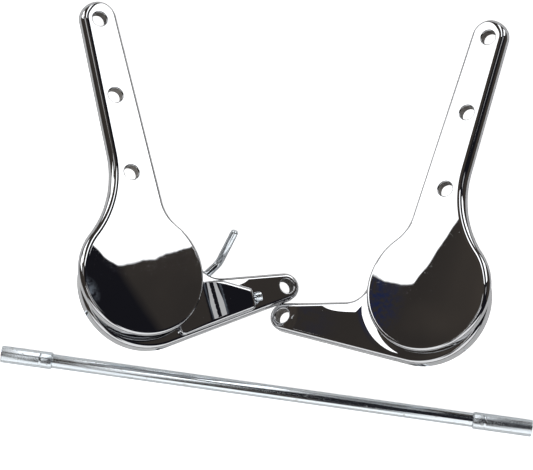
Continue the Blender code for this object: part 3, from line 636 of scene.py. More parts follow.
def ridge(level, drop, start):
    """A face crowned about a point below the start and about the arm's centre line above it."""
    lean = ARM_END.x / ARM_END.y

    def away(x, y):
        return (x, y - start) if y < start else (x - lean * (y - start), 0.0)

    def height(x, y):
        side, down = away(x, y)
        return level - drop * (side * side + down * down) / DISC_RADIUS ** 2

    def slope(x, y):
        side, down = away(x, y)
        scale = -2 * drop / DISC_RADIUS ** 2
        if y < start:
            return scale * side, scale * down
        return scale * side, -scale * side * lean

    return height, slope


def numeric_slope(height):
    """Slope of a height function, from small steps either way."""
    step = 0.02

    def slope(x, y):
        across = height(x + step, y) - height(x - step, y)
        along = height(x, y + step) - height(x, y - step)
        return across / (2 * step), along / (2 * step)

    return slope


def smooth(value):
    value = min(max(value, 0.0), 1.0)
    return value * value * (3 - 2 * value)


def edge_round(shell, outline, height, slope, radius, bottom, foot, steps=9):
    """Rounded upper edge, wall and slightly rounded foot; returns the first and last rings."""
    sizes = [radius(p.x, p.y) if callable(radius) else radius for p, _ in outline]
    first = shell.ring(outline, 0.0, sizes)
    tilt = {}
    for index, _ in first:
        spot = shell.points[index]
        lean = slope(spot.x, spot.y)
        tilt[index] = Vector((-lean[0], -lean[1], 1.0)).normalized()
        spot.z = height(spot.x, spot.y)
    previous, previous_tilt = first, tilt
    for k in range(1, steps + 1):
        angle = 90.0 * k / steps
        turn = math.radians(angle)
        ring = shell.ring(outline, 0.0, [size * (1 - math.sin(turn)) for size in sizes])
        for (index, _), (start, _), size in zip(ring, first, sizes):
            shell.points[index].z = shell.points[start].z - size * (1 - math.cos(turn))
        shell.wall(previous, ring, previous_tilt, angle)
        previous, previous_tilt = ring, angle
    low = shell.ring(outline, bottom + foot)
    shell.wall(previous, low, 90.0, 90.0)
    previous = low
    for k in range(1, 4):
        angle = 90.0 + 30.0 * k
        turn = math.radians(30.0 * k)
        ring = shell.ring(outline, bottom + foot * (1 - math.sin(turn)), foot * (1 - math.cos(turn)))
        shell.wall(previous, ring, 90.0 + 30.0 * (k - 1), angle)
        previous = ring
    return first, previous


def opening(shell, pairs, height, bottom, lip):
    """Wall of a hole with a softened mouth; returns its upper and lower rings."""
    first = shell.ring(pairs, height, -lip)
    previous, previous_tilt = first, 0.0
    top = [shell.points[index].z for index, _ in first]
    for k in range(1, 6):
        angle = 90.0 * k / 5
        turn = math.radians(angle)
        ring = shell.ring(pairs, 0.0, -lip * (1 - math.sin(turn)))
        for (index, _), level in zip(ring, top):
            shell.points[index].z = level - lip * (1 - math.cos(turn))
        shell.wall(previous, ring, previous_tilt, angle, flip=True)
        previous, previous_tilt = ring, angle
    low = shell.ring(pairs, bottom + FOOT)
    shell.wall(previous, low, 90.0, 90.0, flip=True)
    last = shell.ring(pairs, bottom, -FOOT)
    shell.wall(low, last, 135.0, 135.0, flip=True)
    return first, last


def plate(name, outline, height, slope, edge, bottom, holes, recess, floor_holes, mirror):
    """A pressed plate: rounded edge, holes, and a round hollow in its underside."""
    shell = Shell()
    top, base = edge_round(shell, outline, height, slope, edge, bottom, PLATE_FOOT)
    upper = []
    lower = []
    for pairs, lip in holes:
        first, last = opening(shell, pairs, height, bottom, lip)
        upper.append(first)
        lower.append(last)
    if recess:
        centre, radius, floor = recess
        mouth = shell.ring(circle(centre, radius, 144), bottom)
        deep = shell.ring(circle(centre, radius, 144), floor)
        shell.wall(deep, mouth, 90.0, 90.0, flip=True)
        deep_holes = []
        for pairs, lip in floor_holes:
            first, last = opening(shell, pairs, height, floor, lip)
            upper.append(first)
            deep_holes.append(last)
        shell.cap(deep, deep_holes, False)
        lower.append(mouth)
    borders = [[shell.points[index].xy for index, _ in ring] for ring in [top] + upper]
    shell.cap(top, upper, True, height, slope, surface_grid(borders, GRID, 1.0))
    shell.cap(base, lower, False)
    return shell.build(name, mirror)


def lathe(name, profile, steps, mirror=1, centre=(0.0, 0.0), lay=None):
    """Turn a closed (radius, height) profile about Z; radius 0 makes a pole."""
    bm = bmesh.new()
    rings = []
    for radius, height in profile:
        if radius == 0:
            rings.append([bm.verts.new((centre[0], centre[1], height))])
        else:
            rings.append([bm.verts.new((p.x, p.y, height)) for p, _ in circle(centre, radius, steps)])
    last = len(profile) if profile[0][0] > 0 else len(profile) - 1
    for k in range(last):
        upper = rings[k]
        lower = rings[(k + 1) % len(rings)]
        for i in range(steps):
            j = (i + 1) % steps
            if len(upper) == 1:
                bm.faces.new((upper[0], lower[i], lower[j]))
            elif len(lower) == 1:
                bm.faces.new((upper[i], lower[0], upper[j]))
            else:
                bm.faces.new((upper[i], lower[i], lower[j], upper[j]))
    if lay is not None:
        bmesh.ops.transform(bm, matrix=lay, verts=bm.verts)
    return finish_bmesh(bm, name, mirror)


def finish_bmesh(bm, name, mirror=1, crease=35.0):
    for vertex in bm.verts:
        vertex.co = Vector((vertex.co.x * mirror, vertex.co.y, vertex.co.z)) * MM
    bmesh.ops.recalc_face_normals(bm, faces=bm.faces)
    if bm.calc_volume(signed=True) < 0:
        bmesh.ops.reverse_faces(bm, faces=bm.faces)
    mesh = bpy.data.meshes.new(name)
    bm.to_mesh(mesh)
    bm.free()
    mesh.shade_smooth()
    mesh.set_sharp_from_angle(angle=math.radians(crease))
    obj = bpy.data.objects.new(name, mesh)
    bpy.context.scene.collection.objects.link(obj)
    return obj


def rounded_profile(corners, radii, steps=5):
    """Round the corners of a (radius, height) profile; a radius of 0 leaves a corner sharp."""
    points = []
    count = len(corners)
    for i, (corner, radius) in enumerate(zip(corners, radii)):
        corner = Vector(corner)
        if radius == 0:
            points.append(tuple(corner))
            continue
        before = (Vector(corners[i - 1]) - corner).normalized()
        after = (Vector(corners[(i + 1) % count]) - corner).normalized()
        half = before.angle(after) / 2
        trim = radius / math.tan(half)
        centre = corner + (before + after).normalized() * radius / math.sin(half)
        start = corner + before * trim - centre
        finish = corner + after * trim - centre
        sweep = start.angle_signed(finish)
        for k in range(steps + 1):
            turn = Matrix.Rotation(-sweep * k / steps, 2)
            points.append(tuple(centre + turn @ start))
    return points


def tube(name, path, radius, mirror, steps=28, domed_end=True):
    """Round bar along a path of points, with a flat start and a flat or domed end."""
    directions = []
    for i in range(len(path)):
        ahead = path[min(i + 1, len(path) - 1)] - path[max(i - 1, 0)]
        directions.append(ahead.normalized())
    side = directions[0].orthogonal().normalized()
    bm = bmesh.new()
    rings = []

    def add_ring(centre, along, across, size):
        other = along.cross(across)
        ring = []
        for k in range(steps):
            angle = 2 * math.pi * k / steps
            spot = centre + (across * math.cos(angle) + other * math.sin(angle)) * size
            ring.append(bm.verts.new(spot))
        rings.append(ring)

    sides = []
    for direction in directions:
        side = (side - direction * side.dot(direction)).normalized()
        sides.append(side)
    for centre, direction, across in zip(path, directions, sides):
        add_ring(centre, direction, across, radius)
    if domed_end:
        for k in range(4, 0, -1):
            angle = math.radians(90.0 * k / 5)
            add_ring(path[-1] + directions[-1] * radius * DOME * math.cos(angle),
                     directions[-1], sides[-1], radius * math.sin(angle))
    for first, second in zip(rings, rings[1:]):
        for k in range(steps):
            j = (k + 1) % steps
            bm.faces.new((first[k], first[j], second[j], second[k]))
    bm.faces.new(list(reversed(rings[0])))
    bm.faces.new(rings[-1])
    return finish_bmesh(bm, name, mirror, 40.0)


def rounded_path(corners, radius, steps):
    """A path through the corners with each bend rounded, and its straights divided."""
    path = [corners[0]]
    for before, corner, after in zip(corners, corners[1:], corners[2:]):
        back = (before - corner).normalized()
        ahead = (after - corner).normalized()
        half = back.angle(ahead) / 2
        trim = radius / math.tan(half)
        start = corner + back * trim
        centre = corner + (back + ahead).normalized() * radius / math.sin(half)
        axis = (start - centre).cross(corner + ahead * trim - centre).normalized()
        sweep = math.pi - 2 * half
        for i in range(steps + 1):
            path.append(centre + Matrix.Rotation(sweep * i / steps, 3, axis) @ (start - centre))
    path.append(corners[-1])
    return path


# ---------------------------------------------------------------- placement

def hinge_matrices(side):
    """World matrices of the seat arm and of the back arm of one hinge, from its joints."""
    joints = {joint["name"]: joint for joint in frame["record"]["behaviour"]["joints"]}
    recline = joints[BODY[side] + "_recline"]
    pawl = joints[BODY[side] + "_upper_pawl_slide"]
    z = Vector(recline["axis"]).normalized() * -MIRROR[side]
    y = -Vector(pawl["axis"]).normalized()
    x = y.cross(z).normalized()
    origin = Vector(recline["pos_m"]) + z * PIVOT_DEPTH * MM
    seat = Matrix((x, y, z)).transposed().to_4x4()
    seat.translation = origin
    back = seat @ Matrix.Rotation(math.radians(BACK_TURN[side]) * MIRROR[side], 4, 'Z')
    return seat, back


def put(obj, matrix, body, material, node):
    """Place a piece, give it its look, and let it stand for a CAD node."""
    obj.data.transform(matrix)
    for look in material if isinstance(material, tuple) else (material,):
        obj.data.materials.append(look)
    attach(obj, body)
    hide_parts(node)


def round_opening(centre, radius, lip, steps=72):
    return circle(centre, radius, steps), lip


def mark_bores(obj, centres, mirror):
    """Let the walls of bolt holes take the second material, a darker thin-plated steel that also paints shade
    into the bores, before the piece is placed.
    """
    radius = (BOLT_HOLE_RADIUS + BORE_MARGIN) * MM
    for polygon in obj.data.polygons:
        if abs(polygon.normal.z) < 0.5:
            middle = polygon.center
            if any(math.hypot(middle.x - x * mirror * MM, middle.y - y * MM) < radius for x, y in centres):
                polygon.material_index = 1


def make_back_arm(side, matrix, look, bore_look_with_painted_shade):
    height, slope = ridge(0.0, CROWN, CROWN_START[side])
    centres = [(ARM_END.x, ARM_END.y - BOLT_SETBACK - BOLT_PITCH * i) for i in range(BOLT_COUNT)]
    holes = [round_opening(centre, BOLT_HOLE_RADIUS, HOLE_LIP) for centre in centres]
    recess = ((0.0, 0.0), DISH_RADIUS, -SHELL)

    def edge(x, y):
        outer = smooth((x - OUTER_EDGE_START.x) / OUTER_EDGE_BLEND.x)
        outer *= smooth((y - OUTER_EDGE_START.y) / OUTER_EDGE_BLEND.y)
        return ARM_EDGE + (ARM_OUTER_EDGE - ARM_EDGE) * outer

    arm = plate(side + "_back_arm_plate", back_arm_outline(), height, slope, edge, -ARM_THICKNESS,
                holes, recess, [], MIRROR[side])
    mark_bores(arm, centres, MIRROR[side])
    put(arm, matrix, BODY[side] + "_back_arm", (look, bore_look_with_painted_shade), side + "_back_arm")


def seat_height(side):
    """Seat arm's face: flat, with a flare at the disc and a step before the bolt pad on the plain hinge."""
    face = SEAT_FACE[side]
    top = unit(90.0 + SEAT_TOP_SLOPE)
    reach = top.dot(SEAT_HOLE) + SEAT_END_RADIUS

    def height(x, y):
        level = face
        margin = reach - top.x * x - top.y * y
        towards_disc = smooth((x - EDGE_CROWN_START) / EDGE_CROWN_BLEND)
        level -= EDGE_CROWN * towards_disc * max(0.0, 1.0 - margin / EDGE_CROWN_WIDTH) ** 2
        if side == "plain_hinge":
            r = math.hypot(x, y)
            flare = FLARE_START - r
            if r > FLARE_END:
                level += FLARE * max(0.0, flare / (FLARE_START - FLARE_END)) ** 2
            else:
                level += FLARE * smooth((r - FLARE_END + FLARE_FOOT) / FLARE_FOOT)
            pad = math.hypot(x - PAD_CENTRE.x, y - PAD_CENTRE.y)
            level += PAD_STEP * (1.0 - smooth((pad - PAD_RADIUS) / PAD_WIDTH + 0.5))
        return level

    return height, numeric_slope(height)


def make_seat_arm(side, matrix, look, bore_look_with_painted_shade):
    face = SEAT_FACE[side]
    height, slope = seat_height(side)
    holes = [round_opening(tuple(SEAT_HOLE), BOLT_HOLE_RADIUS, HOLE_LIP)]
    recess = (tuple(SEAT_RECESS_CENTRE), SEAT_RECESS_RADIUS, face - SEAT_FLOOR)
    floor_holes = [round_opening((0.0, 0.0), BUSH_RADIUS + GAP, SMALL_LIP)]
    for x in (-RIVET_X, RIVET_X):
        for y in (-RIVET_Y, RIVET_Y):
            floor_holes.append(round_opening((x, y), RIVET_RADIUS + GAP, SMALL_LIP, 32))
    arm = plate(side + "_seat_arm_plate", seat_arm_outline(), height, slope, SEAT_EDGE,
                face - SEAT_THICKNESS, holes, recess, floor_holes, MIRROR[side])
    mark_bores(arm, [tuple(SEAT_HOLE)], MIRROR[side])
    put(arm, matrix, BODY[side] + "_seat_arm", (look, bore_look_with_painted_shade), side + "_seat_arm")


def lever_outline():
    """Disc of the lever joined to its paddle, counter-clockwise."""
    bottom = seat_bottom_normal()
    drop = bottom.dot(SEAT_HOLE) + SEAT_END_RADIUS
    lower_end = (drop - bottom.x * LEVER_END_X) / bottom.y
    corners = [Vector((LEVER_END_X, lower_end + LEVER_END_RISE))]
    corners += [Vector((LEVER_ROOT_X, lower_end - LEVER_ROOT_DROP)), Vector((LEVER_ROOT_X, LEVER_ROOT_TOP))]
    corners += [LEVER_SHOULDER, Vector((LEVER_END_X, LEVER_END_TOP))]
    paddle = rounded_polygon(corners, LEVER_CORNER_RADII, 12)
    count = len(paddle)
    outside = [point.length > LEVER_DISC_RADIUS for point, _ in paddle]
    start = next(i for i in range(count) if outside[i] and not outside[i - 1])
    chain = []
    i = start
    while outside[i % count]:
        chain.append(paddle[i % count])
        i += 1
    begin = angle_of(chain[-1][0]) + 1.0
    finish = turned_up(angle_of(chain[0][0]) - 1.0, begin)
    return chain + arc((0.0, 0.0), LEVER_DISC_RADIUS, begin, finish, 120)


def lever_height(x, y):
    """Lever's outer face: flat under the disc, a soft step, then a slow climb to its end."""
    first = min(max(-x - LEVER_STEP_START, 0.0), LEVER_STEP_WIDTH)
    second = min(max(-x - LEVER_STEP_START - LEVER_STEP_WIDTH, 0.0), LEVER_STEP_WIDTH)
    rest = max(-x - LEVER_STEP_START - 2 * LEVER_STEP_WIDTH, 0.0)
    rise = LEVER_STEEPEST * first ** 2 / (2 * LEVER_STEP_WIDTH)
    easing = (LEVER_STEEPEST - LEVER_CLIMB) / (2 * LEVER_STEP_WIDTH)
    rise += LEVER_STEEPEST * second - easing * second ** 2
    return LEVER_TOP + rise + LEVER_CLIMB * rest


def arc_slot(middle, start, end):
    """Curved window with round ends."""
    half = LEVER_WINDOW_HALF
    pad = math.degrees(half / LEVER_WINDOW_RADIUS)
    low = middle - start + pad
    high = middle + end - pad
    ends = [unit(low) * LEVER_WINDOW_RADIUS, unit(high) * LEVER_WINDOW_RADIUS]
    pairs = arc((0.0, 0.0), LEVER_WINDOW_RADIUS + half, low, high, 24)
    pairs += arc(ends[1], half, high, high + 180.0, 12)[1:-1]
    pairs += arc((0.0, 0.0), LEVER_WINDOW_RADIUS - half, high, low, 24, -1.0)
    return pairs + arc(ends[0], half, low + 180.0, low + 360.0, 12)[1:-1]


def make_lever(matrix, look):
    window_start = math.degrees(math.atan2(RIVET_Y, RIVET_X)) + LEVER_WINDOW_MARGIN
    window_end = window_start + LEVER_TRAVEL
    holes = [(arc_slot(middle, window_start, window_end), SMALL_LIP) for middle in (0.0, 180.0)]
    holes.append((square_outline(SQUARE / 2 + GAP, 0.4, 4), 0.2))

    def edge(x, y):
        outer = smooth((math.hypot(x, y) - LEVER_EDGE_START) / LEVER_EDGE_BLEND)
        return LEVER_DISC_EDGE + (LEVER_EDGE - LEVER_DISC_EDGE) * outer

    lever = plate("lever_hinge_release_paddle", lever_outline(), lever_height, numeric_slope(lever_height),
                  edge, LEVER_BOTTOM, holes, None, [], MIRROR["lever_hinge"])
    put(lever, matrix, "lever_lock_shaft", look, "lever_hinge_release_lever")


def make_knob_stud(matrix, look):
    """Threaded stud with a true helical thread and a chamfered tip."""
    bm = bmesh.new()
    around = 40
    layers = []
    count = int(STUD_OUT / STUD_PITCH * 12)
    for k in range(count + 1):
        reach = GAP + (STUD_OUT - GAP) * k / count
        taper = min(1.0, (STUD_OUT - reach) / STUD_FADE + STUD_TIP_THREAD)
        ring = []
        for i in range(around):
            turn = 2 * math.pi * i / around
            phase = (reach / STUD_PITCH - i / around) % 1.0
            crest = 1.0 - abs(phase - 0.5) * 2.0
            size = STUD_ROOT + (STUD_RADIUS - STUD_ROOT) * crest * taper
            size -= STUD_CHAMFER * max(0.0, 1.0 - (STUD_OUT - reach) / STUD_CHAMFER)
            ring.append((LEVER_END_X - reach, STUD_Y + size * math.cos(turn), STUD_Z + size * math.sin(turn)))
        layers.append(ring)
    neck = [(LEVER_END_X - reach, STUD_Y + STUD_NECK * math.cos(2 * math.pi * i / around),
             STUD_Z + STUD_NECK * math.sin(2 * math.pi * i / around))
            for reach in (-1.0, GAP) for i in range(around)]
    layers = [neck[:around], neck[around:]] + layers
    rings = [[bm.verts.new(spot) for spot in ring] for ring in layers]
    for first, second in zip(rings, rings[1:]):
        for i in range(around):
            j = (i + 1) % around
            bm.faces.new((first[i], first[j], second[j], second[i]))
    bm.faces.new(list(reversed(rings[0])))
    bm.faces.new(rings[-1])
    stud = finish_bmesh(bm, "lever_hinge_threaded_stud", MIRROR["lever_hinge"], 30.0)
    put(stud, matrix, "lever_lock_shaft", look, "lever_hinge_knob_stud")


def hub_top(side):
    return SEAT_FACE[side] - SEAT_THICKNESS - HUB_CLEARANCE


def make_release_rod(matrix, look):
    side = "lever_hinge"
    level = hub_top(side) - HUB_HEIGHT / 2
    corners = [Vector((-SHAFT_RADIUS - ROD_INSET, ROD_START_Y, level))]
    corners += [Vector((x, y, level + rise)) for x, y, rise in ROD_BENDS] + [ROD_TIP]
    path = rounded_path(corners, ROD_BEND_RADIUS, 16)
    tip = path[-1] - path[-2]
    path[-1] = path[-1] - tip.normalized() * ROD_RADIUS * DOME
    rod = tube(side + "_bent_release_rod", path, ROD_RADIUS, MIRROR[side])
    put(rod, matrix, "lever_lock_shaft", look, side + "_release_rod")


def make_rivets(side, matrix, look):
    back = SEAT_FACE[side] - SEAT_FLOOR - GAP
    places = [(x, y) for x in (-RIVET_X, RIVET_X) for y in (-RIVET_Y, RIVET_Y)]
    for i, centre in enumerate(places):
        profile = [(0, GUIDE_TOP - GAP), (RIVET_RADIUS, GUIDE_TOP - GAP), (RIVET_RADIUS, back)]
        profile += [(RIVET_HEAD_RADIUS, back)]
        for k in range(1, 9):
            angle = math.radians(90.0 * k / 9)
            profile.append((RIVET_HEAD_RADIUS * math.cos(angle), back - 0.3 - RIVET_HEAD * math.sin(angle)))
        profile += [(0, back - 0.3 - RIVET_HEAD)]
        rivet = lathe(f"{side}_domed_rivet_{i + 1}", profile, 32, MIRROR[side], centre)
        put(rivet, matrix, BODY[side] + "_seat_arm", look, f"{side}_rivet_{i + 1}")


def bush_back(side):
    return SEAT_FACE[side] - SEAT_FLOOR - GAP - BUSH_FLANGE


def make_bush(side, matrix, look):
    top = SEAT_FACE[side]
    floor_back = top - SEAT_FLOOR - GAP
    bore = SHAFT_RADIUS + 0.1
    corners = [(bore, top), (BUSH_RADIUS, top), (BUSH_RADIUS, floor_back), (BUSH_FLANGE_RADIUS, floor_back)]
    corners += [(BUSH_FLANGE_RADIUS, bush_back(side)), (bore, bush_back(side))]
    profile = rounded_profile(corners, (0.3, 0.3, 0.0, 0.3, 0.4, 0.4))
    bush = lathe(side + "_flanged_bush", profile, 72, MIRROR[side])
    put(bush, matrix, BODY[side] + "_seat_arm", look, side + "_bush")


def make_return_spring(side, matrix, look):
    top = bush_back(side) - GAP - SPRING_WIRE
    steps = 40
    coil = []
    for i in range(SPRING_TURNS * steps + 1):
        angle = 2 * math.pi * i / steps - math.pi / 2
        height = top - SPRING_PITCH * i / steps
        coil.append(Vector((SPRING_RADIUS * math.cos(angle), SPRING_RADIUS * math.sin(angle), height)))
    tail = [Vector((-SPRING_TAIL * share, -SPRING_RADIUS, top)) for share in (1.0, 0.5)]
    spring = tube(side + "_coiled_spring", tail + coil, SPRING_WIRE, MIRROR[side], 14, False)
    put(spring, matrix, BODY[side] + "_seat_arm", look, side + "_return_spring")


def make_shaft(side, matrix, look):
    """Flange, square, round journal and serrated end, joined into one shaft."""
    end = SEAT_FACE[side] - SEAT_THICKNESS - SHAFT_BEHIND_SEAT
    spline_top = end + SPLINE_LENGTH
    corners = [(0, SHAFT_FLANGE_TOP), (SHAFT_FLANGE_RADIUS, SHAFT_FLANGE_TOP)]
    corners += [(SHAFT_FLANGE_RADIUS, SHAFT_FLANGE_TOP - SHAFT_FLANGE)]
    corners += [(SHAFT_RADIUS, SHAFT_FLANGE_TOP - SHAFT_FLANGE), (SHAFT_RADIUS, spline_top + 1.4)]
    corners += [(SPLINE_ROOT, spline_top), (0, spline_top)]
    profile = rounded_profile(corners, (0, 0.2, 0.2, 0, 0.3, 0, 0))
    shaft = lathe(side + "_splined_shaft", profile, 64, MIRROR[side])
    square = square_outline(SQUARE / 2, 0.3, 3)
    join_solid(shaft, prism(square, SHAFT_FLANGE_TOP - 0.4, SEAT_FACE[side] + GAP, 0.2, MIRROR[side]))
    teeth = []
    tooth = [(share, SPLINE_ROOT) for share in (0.0, 0.12)]
    tooth += [(share, SPLINE_RADIUS) for share in (0.32, 0.5, 0.68)] + [(0.88, SPLINE_ROOT)]
    for i in range(SPLINE_TEETH):
        for share, radius in tooth:
            out = unit(360.0 * (i + share) / SPLINE_TEETH)
            teeth.append((out * radius, out))
    join_solid(shaft, prism(teeth, spline_top + 0.5, end, SPLINE_CHAMFER, MIRROR[side]))
    put(shaft, matrix, BODY[side] + "_lock_shaft", look, side + "_lock_shaft")


def prism(pairs, top, bottom, chamfer, mirror):
    """Straight bar of one outline, its lower end chamfered."""
    bm = bmesh.new()
    rings = []
    for z, inwards in ((top, 0.0), (bottom + chamfer, 0.0), (bottom, chamfer)):
        rings.append([bm.verts.new((p.x - out.x * inwards, p.y - out.y * inwards, z)) for p, out in pairs])
    for first, second in zip(rings, rings[1:]):
        for i in range(len(pairs)):
            j = (i + 1) % len(pairs)
            bm.faces.new((first[i], second[i], second[j], first[j]))
    bm.faces.new(rings[0])
    bm.faces.new(list(reversed(rings[-1])))
    return finish_bmesh(bm, "bar", mirror)


def join_solid(obj, other):
    """Unite two solids into the first one."""
    modifier = obj.modifiers.new("join", 'BOOLEAN')
    modifier.operation = 'UNION'
    modifier.solver = 'EXACT'
    modifier.object = other
    bpy.context.view_layer.update()
    graph = bpy.context.evaluated_depsgraph_get()
    mesh = bpy.data.meshes.new_from_object(obj.evaluated_get(graph))
    obj.modifiers.clear()
    obj.data = mesh
    mesh.set_sharp_from_angle(angle=math.radians(30.0))
    bpy.data.objects.remove(other)


def make_connecting_rod(look, sleeve_look):
    """Drawn rod with a socket sleeve on each end, placed midway between the CAD sleeves."""
    left_low, left_high = (Vector(corner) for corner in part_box("connecting_rod_left_sleeve"))
    right_low, right_high = (Vector(corner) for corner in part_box("connecting_rod_right_sleeve"))
    middle = (left_low + right_high) / 2
    middle.y = (right_low.y + left_high.y) / 2
    matrix = Matrix.Translation(middle) @ Matrix.Rotation(math.radians(ROD_HEADING), 4, 'Z')
    along_x = Matrix.Rotation(math.radians(90.0), 4, 'Y')
    left = -TUBE_LENGTH / 2 + SLEEVE_LENGTHS[0]
    right = TUBE_LENGTH / 2 - SLEEVE_LENGTHS[1]
    corners = [(0, right + SPIGOT_LENGTH), (SPIGOT_RADIUS, right + SPIGOT_LENGTH)]
    corners += [(SPIGOT_RADIUS, right - GAP), (TUBE_RADIUS, right - GAP)]
    corners += [(TUBE_RADIUS, left + GAP), (SPIGOT_RADIUS, left + GAP)]
    corners += [(SPIGOT_RADIUS, left - SPIGOT_LENGTH), (0, left - SPIGOT_LENGTH)]
    profile = rounded_profile(corners, (0, 0.5, 0, 0.3, 0.3, 0, 0.5, 0))
    rod = lathe("drawn_rod", profile, 72, lay=along_x)
    put(rod, matrix, "connecting_rod", look, "connecting_rod")
    for end, inner, sign in (("left", left, -1), ("right", right, 1)):
        outer = sign * TUBE_LENGTH / 2
        groove = inner + sign * SLEEVE_GROOVE_INSET
        half = sign * SLEEVE_GROOVE_HALF
        corners = [(SLEEVE_BORE, inner), (SLEEVE_RADIUS, inner), (SLEEVE_RADIUS, groove - half)]
        corners += [(SLEEVE_RADIUS - SLEEVE_GROOVE_DEPTH, groove), (SLEEVE_RADIUS, groove + half)]
        corners += [(SLEEVE_RADIUS, outer), (SLEEVE_BORE, outer)]
        profile = rounded_profile(corners, (0.2, 0.55, 0.1, 0.1, 0.1, 0.6, 0.4))
        sleeve = lathe(f"{end}_socket_sleeve", profile, 72, lay=along_x)
        put(sleeve, matrix, "connecting_rod", sleeve_look, f"connecting_rod_{end}_sleeve")


# ---------------------------------------------------------------- studio

def seen_from_above(matrix):
    """X and Y of the direction that a hinge's face reflects straight up."""
    normal = matrix.to_3x3() @ UP
    return Vector((2 * normal.z * normal.x, 2 * normal.z * normal.y))


def studio_world(lever_view, plain_view):
    """White cards and dark cloth around the table; the wall itself looks plain and pale."""
    world = bpy.data.worlds.new("studio")
    world.use_nodes = True
    bpy.context.scene.world = world
    graph = Graph(world.node_tree)
    background = world.node_tree.nodes["Background"]
    place = graph.node("ShaderNodeTexCoord")
    direction = place.outputs["Generated"]
    ripple = graph.node("ShaderNodeTexNoise", Scale=9.0, Detail=4.0, Roughness=0.65)
    graph.join(direction, ripple.inputs["Vector"])
    centred = graph.vector('SUBTRACT', ripple.outputs["Color"], (0.5, 0.5, 0.5))
    shift = graph.vector('MULTIPLY', centred, (CARD_RAGGED,) * 3)
    split = graph.node("ShaderNodeSeparateXYZ")
    graph.join(graph.vector('ADD', direction, shift), split.inputs[0])
    x, y, z = split.outputs

    def above(corner, slope):
        """1 above a sloping line through a corner, seen from overhead."""
        line = graph.math('MULTIPLY', graph.math('SUBTRACT', x, corner[0]), slope)
        level = graph.math('SUBTRACT', graph.math('SUBTRACT', y, corner[1]), line)
        return graph.ramp(level, -CARD_SOFT, CARD_SOFT)

    def both(first, second):
        return graph.math('MULTIPLY', first, second)

    def either(first, second):
        return graph.math('MAXIMUM', first, second)

    def beyond(value, limit, side=1.0):
        """1 where a value is past a limit."""
        past = graph.math('MULTIPLY', graph.math('SUBTRACT', value, limit), side)
        return graph.ramp(past, -CARD_SOFT, CARD_SOFT)

    def between(value, limits, start=0.0):
        """1 where a value is between two limits that count from a start."""
        return both(beyond(value, start + limits[0]), beyond(value, start + limits[1], -1.0))

    corner = lever_view + Vector(RIGHT_CARD)
    right = both(above(corner, RIGHT_CARD_SLOPES[0]), above(corner, RIGHT_CARD_SLOPES[1]))
    right = both(right, between(x, RIGHT_CARD_ENDS, lever_view.x))
    tip = plain_view + Vector(LEFT_CARD)
    left = both(above(tip, LEFT_CARD_SLOPES[0]), above(tip, LEFT_CARD_SLOPES[1]))
    left = both(left, between(x, LEFT_CARD_ENDS, plain_view.x))
    far_card = both(between(x, FAR_CARD[0], plain_view.x), between(y, FAR_CARD[1], plain_view.y))
    left = either(left, far_card)
    turn = math.radians(ROD_HEADING)
    cosine, sine = math.cos(turn), math.sin(turn)
    along = graph.math('ADD', graph.math('MULTIPLY', x, cosine), graph.math('MULTIPLY', y, sine))
    across = graph.math('SUBTRACT', graph.math('MULTIPLY', y, cosine), graph.math('MULTIPLY', x, sine))
    aside = graph.math('ABSOLUTE', along, 0.0)
    in_strip = graph.ramp(aside, STRIP_HALF, STRIP_HALF + STRIP_SIDE_FADE, 1.0, 0.0)
    slanted = graph.math('SUBTRACT', across, graph.math('MULTIPLY', along, STRIP_SLANT))
    strip = both(in_strip, graph.ramp(slanted, STRIP_START, STRIP_START + STRIP_FADE))
    strip = both(strip, graph.math('SUBTRACT', 1.0, between(across, STRIP_NOTCH)))
    gap = both(in_strip, graph.ramp(across, -STRIP_GAP_END, -STRIP_GAP_END + STRIP_GAP_FADE))
    front = both(beyond(y, -FRONT_CARD, -1.0), graph.math('SUBTRACT', 1.0, gap))
    grey = 0.0
    for ends, heights in zip(GREY_CARDS, GREY_CARD_HEIGHTS):
        grey = either(grey, both(between(y, heights), between(x, ends)))
    light = both(either(right, left), CARD_LIGHT)
    for card, power in ((strip, CARD_LIGHT), (front, FRONT_LIGHT), (grey, GREY_LIGHT)):
        light = either(light, both(card, power))
    light = both(light, graph.ramp(z, 0.04, 0.08))
    shade = graph.noise(direction, 3.5, 3.0)
    cloth = graph.mix_colour(graph.ramp(shade, 0.42, 0.58), (0.046, 0.040, 0.036), (0.070, 0.059, 0.050))
    night = graph.math('ADD', x, graph.math('MULTIPLY', graph.math('SUBTRACT', y, corner.y), -NIGHT_SLOPE))
    night = both(graph.ramp(night, corner.x - 0.004, corner.x + 0.012, 1.0, 0.0), beyond(x, 0.0))
    cloth = graph.mix_colour(night, cloth, (0.012, 0.012, 0.016))
    white = graph.node("ShaderNodeCombineXYZ")
    for socket in white.inputs:
        graph.join(light, socket)
    lit = graph.mix_colour(graph.ramp(light, 0.0, 0.1), cloth, white.outputs[0])
    for centre, size, colour in GLOWS:
        height = math.sqrt(1.0 - centre[0] ** 2 - centre[1] ** 2)
        offset = graph.vector('DISTANCE', direction, (*centre, height), "Value")
        near = graph.ramp(offset, size * 0.4, size, 1.0, 0.0)
        grain = graph.ramp(graph.noise(direction, 120.0, 4.0, 0.7), 0.40, 0.62)
        unlit = graph.ramp(light, 0.0, 0.1, 1.0, 0.0)
        lit = graph.mix_colour(both(both(near, grain), unlit), lit, colour)
    path = graph.node("ShaderNodeLightPath")
    seen = graph.mix_colour(path.outputs["Is Camera Ray"], lit, WALL)
    graph.join(seen, background.inputs["Color"])
    background.inputs["Strength"].default_value = 1.0


